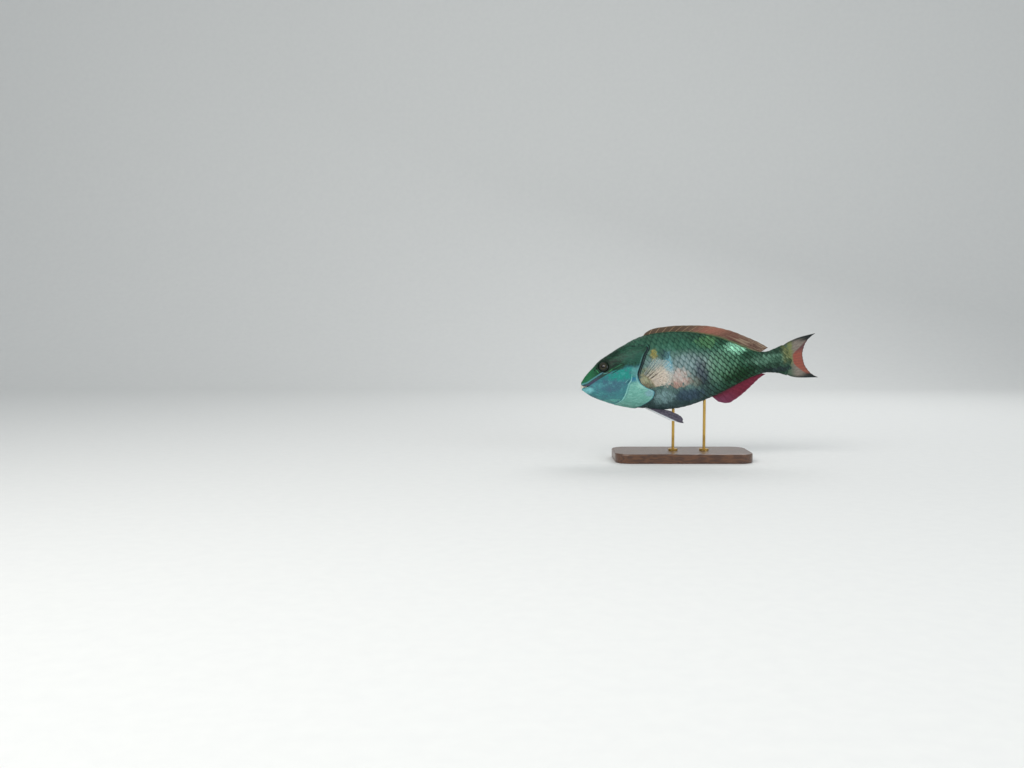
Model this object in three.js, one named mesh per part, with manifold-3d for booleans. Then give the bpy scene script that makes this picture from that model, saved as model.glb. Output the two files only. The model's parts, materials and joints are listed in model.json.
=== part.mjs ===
// A life-size display model of a stoplight parrotfish, an adult male in its green colours.
// It swims to -X with its nose a little down, held over a flat base by two thin rods.
// Lengths are in millimetres. +Z is up, and -Y is the fish's left side.
// The fish is drawn level, with its snout at x = 0 and its midline at z = 0, then tilted and lifted.
import * as THREE from "three";
import Module from "manifold-3d";
import { mergeVertices } from "three/addons/utils/BufferGeometryUtils.js";

const wasm = await Module();
wasm.setup();

// Driving dimensions
const TAIL_ROOT = 345; // snout to the root of the tail fin
const TILT = THREE.MathUtils.degToRad(7); // how far the nose points down
const MIDLINE_HEIGHT = 130; // from the floor to the snout's midline
const SNOUT_X = -200.3; // places the whole model's box over the origin
const GAP = 0.3; // between neighbouring pieces
const SIDES = { left: -1, right: 1 };
const AROUND = 40; // facets round the body

// Body shape: each curve runs through a few heights or half widths, named by their distance from the snout
const BACK = curve([[0, -2.6], [1.2, 1.2], [4, 5.6], [10, 12.4], [22, 22.8], [40, 36.2], [58, 45.6], [76, 54.2],
  [96, 62.6], [116, 67.6], [138, 69.1], [161, 68.2], [185, 65], [209, 59.4], [232, 51.6], [255, 40.6],
  [275, 29.4], [292, 20.8], [306, 16.3], [316, 15.7], [331, 19.1], [348, 24.6]]);
const BELLY = curve([[0, -9], [1.2, -12], [5, -16.2], [16, -25], [38.7, -36.9], [58.9, -45.1], [79.5, -50.8],
  [109.3, -56.2], [138.9, -61.6], [154, -61.9], [172.6, -60.3], [194.5, -55.8], [216.4, -49.9], [238.6, -42],
  [264, -32.5], [289.3, -24.2], [311, -20.3], [326, -22], [348, -29.6]]);
const HALF_WIDTH = curve([[0, 3], [1.2, 4.8], [4, 7.2], [10, 10.2], [22, 14.2], [40, 19.2], [60, 23.6], [85, 27.4],
  [112, 29.4], [140, 29.6], [170, 28], [200, 25], [230, 20.4], [260, 15.2], [290, 10.6], [316, 7.4], [333, 4.6],
  [348, 2.2]]);
const WIDEST = curve([[0, -5.6], [10, -5], [40, -6], [80, -3], [120, 4], [170, 6], [230, 4], [290, -1], [348, -2]]);
const UPPER_FULLNESS = curve([[0, 2], [20, 2.2], [40, 2.5], [80, 2.3], [140, 2.1], [260, 2.1], [320, 2.3], [348, 3.4]]);
const LOWER_FULLNESS = curve([[0, 2], [30, 2.1], [90, 2.2], [160, 2.3], [260, 2.1], [320, 2.3], [348, 3.4]]);
const COVER_RISE = 1.2; // how far the gill covers stand proud of the body behind them

// Rear edge of the head, and the front edge of the gill cover, as x against z
const GILL_EDGE = curve([[-70, 52], [-56, 72], [-48, 98], [-37, 116], [-27, 120], [-18, 111], [-8, 101], [3, 99.5],
  [23, 108], [36, 113], [48, 118], [58, 111], [72, 100], [90, 96]]);
const COVER_FRONT = curve([[-70, 20], [-46, 42], [-41, 55], [-35, 67], [-24, 74.5], [-11, 80], [-2, 86], [8, 87.5],
  [22, 84]]);
const COVER_TOP = [[84, 22], [123, 51]];
const COVER_DEPTH = 13; // from the midplane to the inner face of a gill cover

// Head
const EYE = { x: 40, z: 24.5, radius: 9, bulge: 6.2, sunk: 3.2 };
const NOSTRILS = [{ x: 24.5, z: 19.2, size: [1.1, 0.8, 0.8] }, { x: 28.4, z: 22, size: [1.5, 1, 1.1] }];
const MOUTH = { corner: 14.5, frontZ: -6.9, cornerZ: -5.4, gape: 2.2, lip: 1.5 };
const BEAK = { x: 7, z: -6.5, radii: [8, 6, 4.8] };

// Fins
const DORSAL = { from: 110, to: 303, rays: 19, sunk: 4,
  lean: curve([[0, 7], [0.3, 19], [0.7, 33], [0.88, 33], [1, 17]]),
  edge: curve([[111, 67], [118, 71.5], [127, 75.6], [140, 77.6], [160, 77.6], [192, 75], [220, 71], [233, 67.8],
    [248, 62.6], [263, 56.6], [286, 44], [299, 36.6], [311, 28.6], [320, 21.6]]) };
const ANAL = { from: 215, to: 300, rays: 12, sunk: 4,
  lean: curve([[0, 12], [0.4, 21], [0.8, 18], [1, 11]]),
  edge: curve([[216, -51], [227, -59.2], [243, -63.6], [257.6, -58], [273, -48.6], [288.7, -36.6], [304, -25.8],
    [312, -22]]) };
const TAIL_FIN = { rays: 15, top: curve([[345, 23.6], [375, 32.6], [401.5, 36]]),
  bottom: curve([[345, -28.6], [364, -34.7], [398.5, -38.6]]),
  // the rear edge, as x against the height's share of the fin, from the lower tip to the upper
  fork: curve([[-1, 399], [-0.86, 390], [-0.62, 382.6], [-0.3, 377.6], [0.1, 376.4], [0.5, 380.6], [0.8, 388.6],
    [1, 401.6]]) };
const PECTORAL = { rays: 13, root: [[101.5, 2], [118, -18]], sunk: 3,
  // where the first ray, the longest, the rear corner and the last ray end: x, outward y, z
  tips: [[119, 52, 29], [140, 57, 25], [152, 53, 5], [145, 41, -14]] };
const FIN_PAD = { x: 110, z: -8.5, radii: [15.5, 3.6, 5.5], lean: THREE.MathUtils.degToRad(-50) };
const PELVIC = { rays: 6, root: [[98, 6], [119, 2.4]], sunk: 3,
  tips: [[141, 19, -78.8], [161.5, 21, -86], [162, 14, -78], [147, 8, -66.5]] };

// Stand
const BASE = { x: -30, length: 230, width: 104, height: 16, corner: 22, bevel: 2 };
const ROD_STATIONS = { front: 150, rear: 204 }; // along the belly, clear of the fins
const ROD = { radius: 2.4, flange: 8, flangeHeight: 3, sides: 20 };

// A smooth curve through [x, value] points, straight beyond its ends
function curve(points) {
  const last = points.length - 1;
  const slope = (i, j) => (points[j][1] - points[i][1]) / (points[j][0] - points[i][0]);
  const slopes = points.map((p, i) => {
    if (i === 0) return slope(0, 1);
    if (i === last) return slope(last - 1, last);
    const before = slope(i - 1, i);
    const after = slope(i, i + 1);
    if (before * after <= 0) return 0;
    return (2 * before * after) / (before + after);
  });
  return (x) => {
    if (x <= points[0][0]) return points[0][1] + slopes[0] * (x - points[0][0]);
    if (x >= points[last][0]) return points[last][1] + slopes[last] * (x - points[last][0]);
    let i = 0;
    while (x > points[i + 1][0]) i += 1;
    const span = points[i + 1][0] - points[i][0];
    const t = (x - points[i][0]) / span;
    const a = points[i][1];
    const b = points[i + 1][1];
    const p = slopes[i] * span;
    const q = slopes[i + 1] * span;
    return a + t * (p + t * (3 * (b - a) - 2 * p - q + t * (2 * (a - b) + p + q)));
  };
}

const smooth = (from, to, x) => THREE.MathUtils.smoothstep(x, from, to);

// A point on the body: angle 0 is the right side, a quarter turn the back and a half turn the left side
function bodyPoint(x, angle, grow = 0) {
  const up = Math.sin(angle);
  const out = Math.cos(angle);
  const fullness = up > 0 ? UPPER_FULLNESS(x) : LOWER_FULLNESS(x);
  const reach = up > 0 ? BACK(x) - WIDEST(x) : WIDEST(x) - BELLY(x);
  const power = 2 / fullness;
  return new THREE.Vector3(
    x,
    Math.sign(out) * Math.abs(out) ** power * (HALF_WIDTH(x) + grow),
    WIDEST(x) + Math.sign(up) * Math.abs(up) ** power * (reach + grow),
  );
}

// The angle at which the body's side has height z
function angleAt(x, z, side) {
  const above = z > WIDEST(x);
  const reach = above ? BACK(x) - WIDEST(x) : WIDEST(x) - BELLY(x);
  const fullness = above ? UPPER_FULLNESS(x) : LOWER_FULLNESS(x);
  const share = Math.min(1, Math.abs(z - WIDEST(x)) / reach);
  const angle = Math.asin(share ** (fullness / 2)) * (above ? 1 : -1);
  return side > 0 ? angle : Math.PI - angle;
}

// The body's surface at x and z on one side, with its outward normal
function bodySpot(x, z, side) {
  const at = (dx, dz) => bodyPoint(x + dx, angleAt(x + dx, z + dz, side));
  const point = at(0, 0);
  const along = at(0.5, 0).sub(point);
  const upward = at(0, 0.5).sub(point);
  const normal = new THREE.Vector3().crossVectors(upward, along).normalize().multiplyScalar(side);
  return { point, normal };
}

// Solids

// A closed surface through rings of points, with each end closed by a fan
function loft(rings) {
  const count = rings[0].length;
  const points = rings.flat();
  const faces = [];
  for (let i = 0; i < rings.length - 1; i += 1) {
    for (let j = 0; j < count; j += 1) {
      const a = i * count + j;
      const b = i * count + ((j + 1) % count);
      faces.push(a, b, a + count, b, b + count, a + count);
    }
  }
  for (const [ring, turn] of [[0, false], [rings.length - 1, true]]) {
    const middle = rings[ring].reduce((sum, p) => sum.add(p), new THREE.Vector3()).divideScalar(count);
    points.push(middle);
    for (let j = 0; j < count; j += 1) {
      const a = ring * count + j;
      const b = ring * count + ((j + 1) % count);
      faces.push(points.length - 1, turn ? a : b, turn ? b : a);
    }
  }
  return new THREE.BufferGeometry().setFromPoints(points).setIndex(faces);
}

function solid(geometry) {
  const bare = geometry.clone();
  for (const name of Object.keys(bare.attributes)) {
    if (name !== "position") bare.deleteAttribute(name);
  }
  const merged = mergeVertices(bare, 1e-4);
  const made = new wasm.Manifold(new wasm.Mesh({
    numProp: 3,
    vertProperties: merged.getAttribute("position").array,
    triVerts: new Uint32Array(merged.index.array),
  }));
  if (made.volume() > 0) return made;
  const turned = new Uint32Array(merged.index.array).reverse();
  return new wasm.Manifold(new wasm.Mesh({
    numProp: 3,
    vertProperties: merged.getAttribute("position").array,
    triVerts: turned,
  }));
}

function largest(made) {
  return made.decompose().sort((a, b) => b.volume() - a.volume())[0];
}

function geometryOf(made) {
  const mesh = made.getMesh();
  return new THREE.BufferGeometry()
    .setAttribute("position", new THREE.BufferAttribute(new Float32Array(mesh.vertProperties), 3))
    .setIndex(new THREE.BufferAttribute(new Uint32Array(mesh.triVerts), 1));
}

// A plate with the given outline in the XZ plane, from one y to another
function slab(outline, fromY, toY) {
  const shape = new THREE.Shape(outline.map(([x, z]) => new THREE.Vector2(x, z)));
  const plate = new THREE.ExtrudeGeometry(shape, { depth: toY - fromY, bevelEnabled: false });
  return solid(plate.rotateX(Math.PI / 2).translate(0, toY, 0));
}

function ellipsoid(radii, normal, centre, segments) {
  const ball = new THREE.SphereGeometry(1, segments, Math.round(segments / 2)).scale(...radii);
  const turn = new THREE.Quaternion().setFromUnitVectors(new THREE.Vector3(0, 1, 0), normal);
  return solid(ball.applyQuaternion(turn).translate(centre.x, centre.y, centre.z));
}

// Evenly spaced numbers from one value to another, the first and last included
function steps(from, to, count) {
  return Array.from({ length: count + 1 }, (_, i) => from + ((to - from) * i) / count);
}

// Head, trunk and tail stalk

function bodyLoft(stations, grow) {
  const angles = steps(0, 2 * Math.PI, AROUND).slice(0, -1);
  return solid(loft(stations.map((x) => angles.map((angle) => bodyPoint(x, angle, grow(x, angle))))));
}

const headStations = [...steps(0, 1, 5).map((t) => 10 * t * t), ...steps(16, 136, 20)];
// The gill covers stand proud of the trunk, and the nape between them runs into it
const coverGrow = (x, angle) => COVER_RISE * smooth(55, 95, x) * (1 - smooth(0.66, 0.84, Math.sin(angle)));
const headBlank = bodyLoft(headStations, coverGrow);
// The fleshy pad that a breast fin grows from
function finPad(side, grow) {
  const { x, z, radii, lean } = FIN_PAD;
  const { point, normal } = bodySpot(x, z, side);
  const ball = new THREE.SphereGeometry(1, 16, 10).scale(...radii.map((r) => r + grow)).rotateY(-lean);
  const turn = new THREE.Quaternion().setFromUnitVectors(new THREE.Vector3(0, side, 0), normal);
  return solid(ball.applyQuaternion(turn).translate(point.x, point.y, point.z));
}

const withPads = (made, grow) => made.add(finPad(SIDES.left, grow)).add(finPad(SIDES.right, grow));
const trunkStations = steps(54, 316, 24);
const stalkStations = steps(316 + GAP, TAIL_ROOT, 5);
const trunkBlank = withPads(bodyLoft(trunkStations, () => 0), 0);
const stalk = bodyLoft(stalkStations, () => 0);

// Everything in front of the gill edge, moved back by a gap
function frontOfGills(back) {
  const edge = steps(-70, 90, 32).map((z) => [GILL_EDGE(z) + back, z]);
  return slab([[-20, -70], ...edge, [-20, 90]], -60, 60);
}

// A block that holds one gill cover, grown by a gap
function coverBlock(side, grow) {
  const front = steps(-70, 22, 20).map((z) => [COVER_FRONT(z) - grow, z]);
  const top = COVER_TOP.map(([x, z]) => [x, z + 1.5 * grow]);
  const outline = [[150, -70], [150, top[1][1]], top[1], top[0], ...front.reverse()];
  const inner = COVER_DEPTH - grow;
  return side > 0 ? slab(outline, inner, 60) : slab(outline, -60, -inner);
}

// The mouth's middle line and half its opening at x
const mouthLine = (x) => THREE.MathUtils.mapLinear(x, 0, MOUTH.corner, MOUTH.frontZ, MOUTH.cornerZ);
const gapeAt = (x) => THREE.MathUtils.mapLinear(x, 0, MOUTH.corner, MOUTH.gape, 0.15);

// A lip runs round the snout from one mouth corner to the other, on the upper or lower edge of the mouth
function lip(way) {
  const { corner, lip: radius } = MOUTH;
  const half = [0, 0.35, 0.7, 1].map((t) => {
    const x = THREE.MathUtils.lerp(radius + 0.1, corner, t ** 1.6);
    const out = (HALF_WIDTH(x) - 0.6 * radius) * Math.min(1, Math.sqrt(2.6 * t));
    return new THREE.Vector3(x, out, mouthLine(x) + way * (gapeAt(x) + 0.5 * radius));
  });
  // both ends dip into the cheek
  half.push(new THREE.Vector3(corner + 3.5, HALF_WIDTH(corner) - 4, MOUTH.cornerZ));
  const mirrored = half.slice(1).reverse().map((p) => new THREE.Vector3(p.x, -p.y, p.z));
  const path = new THREE.CatmullRomCurve3([...mirrored, ...half]);
  const section = new THREE.Shape().absarc(0, 0, radius, 0, 2 * Math.PI);
  return solid(new THREE.ExtrudeGeometry(section, { steps: 16, curveSegments: 4, bevelEnabled: false,
    extrudePath: path }));
}

function mouthSlit() {
  const edge = (x, way) => [x, mouthLine(x) + way * gapeAt(x)];
  return slab([edge(-4, -1), edge(MOUTH.corner, -1), edge(MOUTH.corner, 1), edge(-4, 1)], -20, 20);
}

function beakSolid(grow) {
  const radii = BEAK.radii.map((r) => r + grow);
  return ellipsoid(radii, new THREE.Vector3(0, 1, 0), new THREE.Vector3(BEAK.x, 0, BEAK.z), 20);
}

function eyeSolid(side, grow) {
  const { point, normal } = bodySpot(EYE.x, EYE.z, side);
  const centre = point.clone().addScaledVector(normal, -EYE.sunk);
  return ellipsoid([EYE.radius + grow, EYE.bulge + grow, EYE.radius + grow], normal, centre, 20);
}

function nostril(side, { x, z, size }) {
  const { point, normal } = bodySpot(x, z, side);
  return ellipsoid(size, normal, point, 8);
}

const coverAreas = Object.values(SIDES).map((side) => coverBlock(side, GAP));
const headWhole = headBlank.intersect(frontOfGills(0)).add(lip(1)).add(lip(-1));
let headCut = headWhole.subtract(beakSolid(GAP)).subtract(mouthSlit());
for (const side of Object.values(SIDES)) {
  headCut = headCut.subtract(eyeSolid(side, GAP));
  for (const hole of NOSTRILS) headCut = headCut.subtract(nostril(side, hole));
}
const headSolid = largest(coverAreas.reduce((made, area) => made.subtract(area), headCut));
const trunkSolid = largest(trunkBlank.subtract(frontOfGills(1.5 * GAP)));
const coverSolid = (side) => largest(headCut.intersect(coverBlock(side, 0)));

// The beak is split along the bite, and the lower plate stands a little further forward
function beakHalf(side) {
  const bite = [[-10, BEAK.z], [20, BEAK.z + 1.2]];
  const half = slab([...bite.map(([x, z]) => [x, z + side * GAP / 2]), [20, BEAK.z + side * 20], [-10, BEAK.z + side * 20]],
    -20, 20);
  return largest(beakSolid(0).intersect(half));
}

// Fins

const straight = (root, tip) => (u, v) => root(u).lerp(tip(u), v);

// A fin blade: ray u runs along path(u, v), and the rays stand as ridges on both faces of the web between them
function finBlade({ rays, path, normal, thickness, ridge, rows, notch = 0, bow = 0 }) {
  const spread = 0.3 / rays;
  const columns = [];
  for (let k = 0; k < rays; k += 1) {
    const u = k / (rays - 1);
    if (k > 0) columns.push([u - spread, false]);
    columns.push([u, true]);
    if (k < rays - 1) columns.push([u + spread, false]);
  }
  const grids = [1, -1].map((face) => rows.map((v) => columns.map(([u, onRay]) => {
    const reach = onRay ? 1 : 1 - notch * smooth(0.6, 1, v);
    const across = normal(u);
    const depth = thickness(v) / 2 + (onRay ? ridge * (1 - 0.6 * v) : 0);
    return path(u, v * reach).addScaledVector(across, bow * Math.sin(Math.PI * v) + face * depth);
  })));
  const [frontGrid, rearGrid] = grids;
  // Each ring runs up one face of a row and back along the other, so that both faces split alike
  const rings = frontGrid.map((row, i) => [...row, ...rearGrid[i].slice().reverse()]);
  return bladeFromRings(rings, columns.length);
}

function bladeFromRings(rings, width) {
  const count = rings[0].length;
  const points = rings.flat();
  const faces = [];
  const quad = (a, b, c, d) => faces.push(a, b, c, a, c, d);
  for (let i = 0; i < rings.length - 1; i += 1) {
    for (let j = 0; j < count; j += 1) {
      const next = (j + 1) % count;
      const a = i * count + j;
      const b = i * count + next;
      const c = (i + 1) * count + next;
      const d = (i + 1) * count + j;
      if (j < width) quad(a, b, c, d);
      else quad(b, c, d, a);
    }
  }
  for (const [ring, turn] of [[0, false], [rings.length - 1, true]]) {
    for (let j = 0; j < width - 1; j += 1) {
      const a = ring * count + j;
      const b = ring * count + j + 1;
      const c = ring * count + (count - 2 - j);
      const d = ring * count + (count - 1 - j);
      if (turn) quad(a, b, c, d);
      else quad(d, c, b, a);
    }
  }
  return solid(new THREE.BufferGeometry().setFromPoints(points).setIndex(faces));
}

const flat = () => new THREE.Vector3(0, 1, 0);
const taper = (root, end) => (v) => THREE.MathUtils.lerp(root, end, v);

// A fin along the back or belly, with its rays laid back and its tips on the fin's edge
function medianFin({ from, to, rays, sunk, lean, edge }, profile, side) {
  const footAt = (u) => THREE.MathUtils.lerp(from, to, u);
  const root = (u) => new THREE.Vector3(footAt(u), 0, profile(footAt(u)) - side * sunk);
  const tip = (u) => {
    const x = footAt(u) + lean(u);
    return new THREE.Vector3(x, 0, edge(x));
  };
  return finBlade({
    rays,
    path: straight(root, tip),
    normal: flat,
    thickness: taper(2.6, 0.7),
    ridge: 0.55,
    rows: [0, 0.6, 0.85, 1],
    notch: 0.025,
  });
}

// The tail fin's rays bend with its upper and lower edges
function tailFin() {
  const rootX = TAIL_ROOT + GAP;
  const { rays, top, bottom, fork } = TAIL_FIN;
  return finBlade({
    rays,
    path: (u, v) => {
      const x = THREE.MathUtils.lerp(rootX, fork(2 * u - 1), v);
      return new THREE.Vector3(x, 0, THREE.MathUtils.lerp(bottom(x), top(x), u));
    },
    normal: flat,
    thickness: taper(3.4, 0.7),
    ridge: 0.5,
    rows: [0, 0.3, 0.6, 0.85, 1],
    notch: 0.02,
  });
}

// A paired fin: its root lies on the body's side or belly, and its rays fan out to the named tips
function pairedFin({ rays, root, sunk, tips }, side, rootPoint, blade) {
  const outline = new THREE.CatmullRomCurve3(tips.map(([x, out, z]) => new THREE.Vector3(x, side * out, z)));
  const rootAt = (u) => {
    const { point, normal } = rootPoint(
      THREE.MathUtils.lerp(root[0][0], root[1][0], u), THREE.MathUtils.lerp(root[0][1], root[1][1], u), side);
    return point.addScaledVector(normal, -sunk);
  };
  const normal = (u) => {
    const along = outline.getPoint(u).sub(rootAt(u));
    const across = outline.getPoint(Math.min(1, u + 0.05)).sub(outline.getPoint(Math.max(0, u - 0.05)));
    return new THREE.Vector3().crossVectors(along, across).normalize();
  };
  return finBlade({ rays, path: straight(rootAt, (u) => outline.getPoint(u)), normal, ...blade });
}

// A spot on the belly at x, at a distance out from the midplane
function bellySpot(x, out, side) {
  const share = Math.min(1, out / HALF_WIDTH(x));
  const angle = Math.acos(share ** (LOWER_FULLNESS(x) / 2));
  const point = bodyPoint(x, side > 0 ? -angle : Math.PI + angle);
  return { point, normal: new THREE.Vector3(0, 0, -1) };
}

const trunkGrown = withPads(bodyLoft([...trunkStations, ...stalkStations], () => 1.2 * GAP), GAP);
const headGrown = bodyLoft(headStations, (x, angle) => coverGrow(x, angle) + GAP).intersect(frontOfGills(GAP));

function clearOfBody(fin) {
  return largest(fin.subtract(trunkGrown).subtract(headGrown));
}

const pectoral = (side) => clearOfBody(pairedFin(PECTORAL, side, bodySpot,
  { thickness: taper(2.2, 0.6), ridge: 0.45, rows: steps(0, 1, 5), notch: 0.025, bow: side * 3 }));
const pelvic = (side) => clearOfBody(pairedFin(PELVIC, side, bellySpot,
  { thickness: taper(2.2, 0.7), ridge: 0.45, rows: steps(0, 1, 4), notch: 0.05, bow: 0 }));

// Materials

const coat = (colour, roughness) => new THREE.MeshStandardMaterial({ color: colour, roughness, metalness: 0 });
const MATERIALS = {
  head: coat(0x2f6b62, 0.45),
  cover: coat(0x4a9a94, 0.45),
  flank: coat(0x5f8478, 0.45),
  stalk: coat(0x3b6550, 0.45),
  orangeFin: coat(0x9a5a4a, 0.5),
  crimsonFin: coat(0x8a2c4c, 0.5),
  tailFin: coat(0xa06a58, 0.5),
  paleFin: coat(0xb9a79a, 0.5),
  mauveFin: coat(0x8a7f92, 0.5),
  eye: coat(0x2a2018, 0.15),
  beak: coat(0xe6e6dc, 0.3),
  wood: coat(0x4a3222, 0.5),
  brass: new THREE.MeshStandardMaterial({ color: 0xb08d4a, roughness: 0.3, metalness: 1 }),
};

function part(name, made, material) {
  const mesh = new THREE.Mesh(geometryOf(made), MATERIALS[material]);
  mesh.name = name;
  return mesh;
}

// The fish, tilted and lifted into place

const fish = new THREE.Group();
fish.rotation.y = -TILT;
fish.position.set(SNOUT_X, 0, MIDLINE_HEIGHT);
fish.updateMatrix();
fish.add(
  part("head", headSolid, "head"),
  part("trunk", trunkSolid, "flank"),
  part("tail_stalk", stalk, "stalk"),
  part("beak_upper", beakHalf(1), "beak"),
  part("beak_lower", beakHalf(-1), "beak"),
  part("dorsal_fin", clearOfBody(medianFin(DORSAL, BACK, 1)), "orangeFin"),
  part("anal_fin", clearOfBody(medianFin(ANAL, BELLY, -1)), "crimsonFin"),
  part("tail_fin", tailFin(), "tailFin"),
);
for (const [name, side] of Object.entries(SIDES)) {
  fish.add(
    part(`gill_cover_${name}`, coverSolid(side), "cover"),
    part(`eye_${name}`, eyeSolid(side, 0), "eye"),
    part(`pectoral_fin_${name}`, pectoral(side), "paleFin"),
    part(`pelvic_fin_${name}`, pelvic(side), "mauveFin"),
  );
}

// The stand

function baseSolid() {
  const { length, width, height, corner, bevel } = BASE;
  const halfLength = length / 2 - bevel;
  const halfWidth = width / 2 - bevel;
  const shape = new THREE.Shape();
  const corners = [[1, 1, 0], [-1, 1, 1], [-1, -1, 2], [1, -1, 3]];
  for (const [x, y, quarter] of corners) {
    shape.absarc(x * (halfLength - corner), y * (halfWidth - corner), corner,
      (quarter * Math.PI) / 2, ((quarter + 1) * Math.PI) / 2);
  }
  const plate = new THREE.ExtrudeGeometry(shape, { depth: height - 2 * bevel, bevelThickness: bevel,
    bevelSize: bevel, bevelSegments: 2, curveSegments: 6 });
  return solid(plate.translate(BASE.x, 0, bevel));
}

function rodSolid(station) {
  const foot = BASE.height + GAP;
  const belly = new THREE.Vector3(station, 0, BELLY(station)).applyMatrix4(fish.matrix);
  const { radius, flange, flangeHeight, sides } = ROD;
  const profile = [[0, 0], [flange, 0], [flange, flangeHeight - 0.8], [flange - 0.8, flangeHeight],
    [radius, flangeHeight], [radius, belly.z - foot + 8], [0, belly.z - foot + 8]];
  const rod = new THREE.LatheGeometry(profile.map(([r, h]) => new THREE.Vector2(r, h)), sides);
  const placed = solid(rod.rotateX(Math.PI / 2).translate(belly.x, 0, foot));
  const body = solid(geometryOf(trunkGrown).applyMatrix4(fish.matrix));
  return largest(placed.subtract(body));
}

const model = new THREE.Group();
model.add(fish, part("stand_base", baseSolid(), "wood"));
for (const [name, station] of Object.entries(ROD_STATIONS)) {
  model.add(part(`stand_rod_${name}`, rodSolid(station), "brass"));
}

export default model;
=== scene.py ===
# %% [markdown]
# A parrotfish on its display stand
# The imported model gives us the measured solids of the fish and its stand. This lesson dresses them: one
# skin over the flesh, a coat of single scales, finely rayed fins, glassy eyes, a worn beak, and finishes
# for wood and brass. The solids stay where they are, and every new piece is placed in their frame, in
# metres.

import json
import math

import bpy
import numpy as np
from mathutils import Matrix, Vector

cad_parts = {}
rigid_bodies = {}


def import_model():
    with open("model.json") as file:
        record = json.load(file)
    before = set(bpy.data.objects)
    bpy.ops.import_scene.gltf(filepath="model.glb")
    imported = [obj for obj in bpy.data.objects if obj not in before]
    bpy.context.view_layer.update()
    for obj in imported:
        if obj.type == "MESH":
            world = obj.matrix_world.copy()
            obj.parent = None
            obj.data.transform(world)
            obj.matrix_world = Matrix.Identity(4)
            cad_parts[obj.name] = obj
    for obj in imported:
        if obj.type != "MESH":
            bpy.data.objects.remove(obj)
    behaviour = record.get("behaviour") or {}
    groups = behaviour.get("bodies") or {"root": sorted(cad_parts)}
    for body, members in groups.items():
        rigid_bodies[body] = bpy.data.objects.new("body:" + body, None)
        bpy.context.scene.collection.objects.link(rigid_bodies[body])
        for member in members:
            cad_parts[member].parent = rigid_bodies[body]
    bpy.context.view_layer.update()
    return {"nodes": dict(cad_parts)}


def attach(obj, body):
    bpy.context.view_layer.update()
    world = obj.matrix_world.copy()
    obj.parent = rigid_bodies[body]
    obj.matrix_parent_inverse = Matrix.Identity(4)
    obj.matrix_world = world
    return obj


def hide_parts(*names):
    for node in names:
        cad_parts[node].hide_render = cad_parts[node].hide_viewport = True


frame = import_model()

# %% [markdown]
# The fish's own measures
# A fish is easiest to draw level: x runs from the snout to the tail, z up from the midline, y to its right
# side, all in millimetres. Only at the end is it tilted nose down and lifted to its height over the base. A
# few heights and half widths at named distances from the snout give the whole body, with a smooth curve
# drawn through each set. They are the same values as the solids have, so the skin fits them.

# %% Level millimetres to the tilted fish in metres
TILT = math.radians(7)
SNOUT = (-200.3, 130.0)
LEFT, RIGHT = -1, 1


def placed(points):
    """Level fish millimetres, one point a row, as places in the frame in metres."""
    x, y, z = np.asarray(points, float).T
    across = SNOUT[0] + x * math.cos(TILT) - z * math.sin(TILT)
    up = SNOUT[1] + x * math.sin(TILT) + z * math.cos(TILT)
    return np.stack([across, y, up], axis=1) / 1000


# %% Smooth curves through a few points
def curve(points):
    """A smooth curve through (x, value) points that never overshoots them, straight beyond its ends."""
    xs, values = np.array(points, float).T
    slope = np.diff(values) / np.diff(xs)
    product = slope[:-1] * slope[1:]
    inner = np.where(product > 0, 2 * product / np.where(product > 0, slope[:-1] + slope[1:], 1), 0)
    slopes = np.concatenate([slope[:1], inner, slope[-1:]])

    def value_at(x):
        x = np.asarray(x, float)
        i = np.clip(np.searchsorted(xs, x, side="right") - 1, 0, len(xs) - 2)
        span = xs[i + 1] - xs[i]
        t = (x - xs[i]) / span
        inside = np.clip(t, 0, 1)
        a, b = values[i], values[i + 1]
        p, q = slopes[i] * span, slopes[i + 1] * span
        bent = a + inside * (p + inside * (3 * (b - a) - 2 * p - q + inside * (2 * (a - b) + p + q)))
        return bent + np.where(t < 0, t * p, 0) + np.where(t > 1, (t - 1) * q, 0)

    return value_at


def smooth(low, high, x):
    """0 below low and 1 above high, with a soft step between them."""
    t = np.clip((np.asarray(x, float) - low) / (high - low), 0, 1)
    return t * t * (3 - 2 * t)


def bell(x, width):
    return np.exp(-((np.asarray(x, float) / width) ** 2))


# %% The body's curves
back = curve([(0, -2.6), (1.2, 1.2), (4, 5.6), (10, 12.4), (22, 22.8), (40, 36.2), (58, 45.6), (76, 54.2),
              (96, 62.6), (116, 67.6), (138, 69.1), (161, 68.2), (185, 65), (209, 59.4), (232, 51.6),
              (255, 40.6), (275, 29.4), (292, 20.8), (306, 16.3), (316, 15.7), (331, 19.1), (348, 24.6)])
belly = curve([(0, -9), (1.2, -12), (5, -16.2), (16, -25), (38.7, -36.9), (58.9, -45.1), (79.5, -50.8),
               (109.3, -56.2), (138.9, -61.6), (154, -61.9), (172.6, -60.3), (194.5, -55.8), (216.4, -49.9),
               (238.6, -42), (264, -32.5), (289.3, -24.2), (311, -20.3), (326, -22), (348, -29.6)])
half_width = curve([(0, 3), (1.2, 4.8), (4, 7.2), (10, 10.2), (22, 14.2), (40, 19.2), (60, 23.6),
                    (85, 27.4), (112, 29.4), (140, 29.6), (170, 28), (200, 25), (230, 20.4), (260, 15.2),
                    (290, 10.6), (316, 7.4), (333, 4.6), (348, 2.2)])
widest = curve([(0, -5.6), (10, -5), (40, -6), (80, -3), (120, 4), (170, 6), (230, 4), (290, -1),
                (348, -2)])
upper_fullness = curve([(0, 2), (20, 2.2), (40, 2.5), (80, 2.3), (140, 2.1), (260, 2.1), (320, 2.3),
                        (348, 3.4)])
lower_fullness = curve([(0, 2), (30, 2.1), (90, 2.2), (160, 2.3), (260, 2.1), (320, 2.3), (348, 3.4)])


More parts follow.
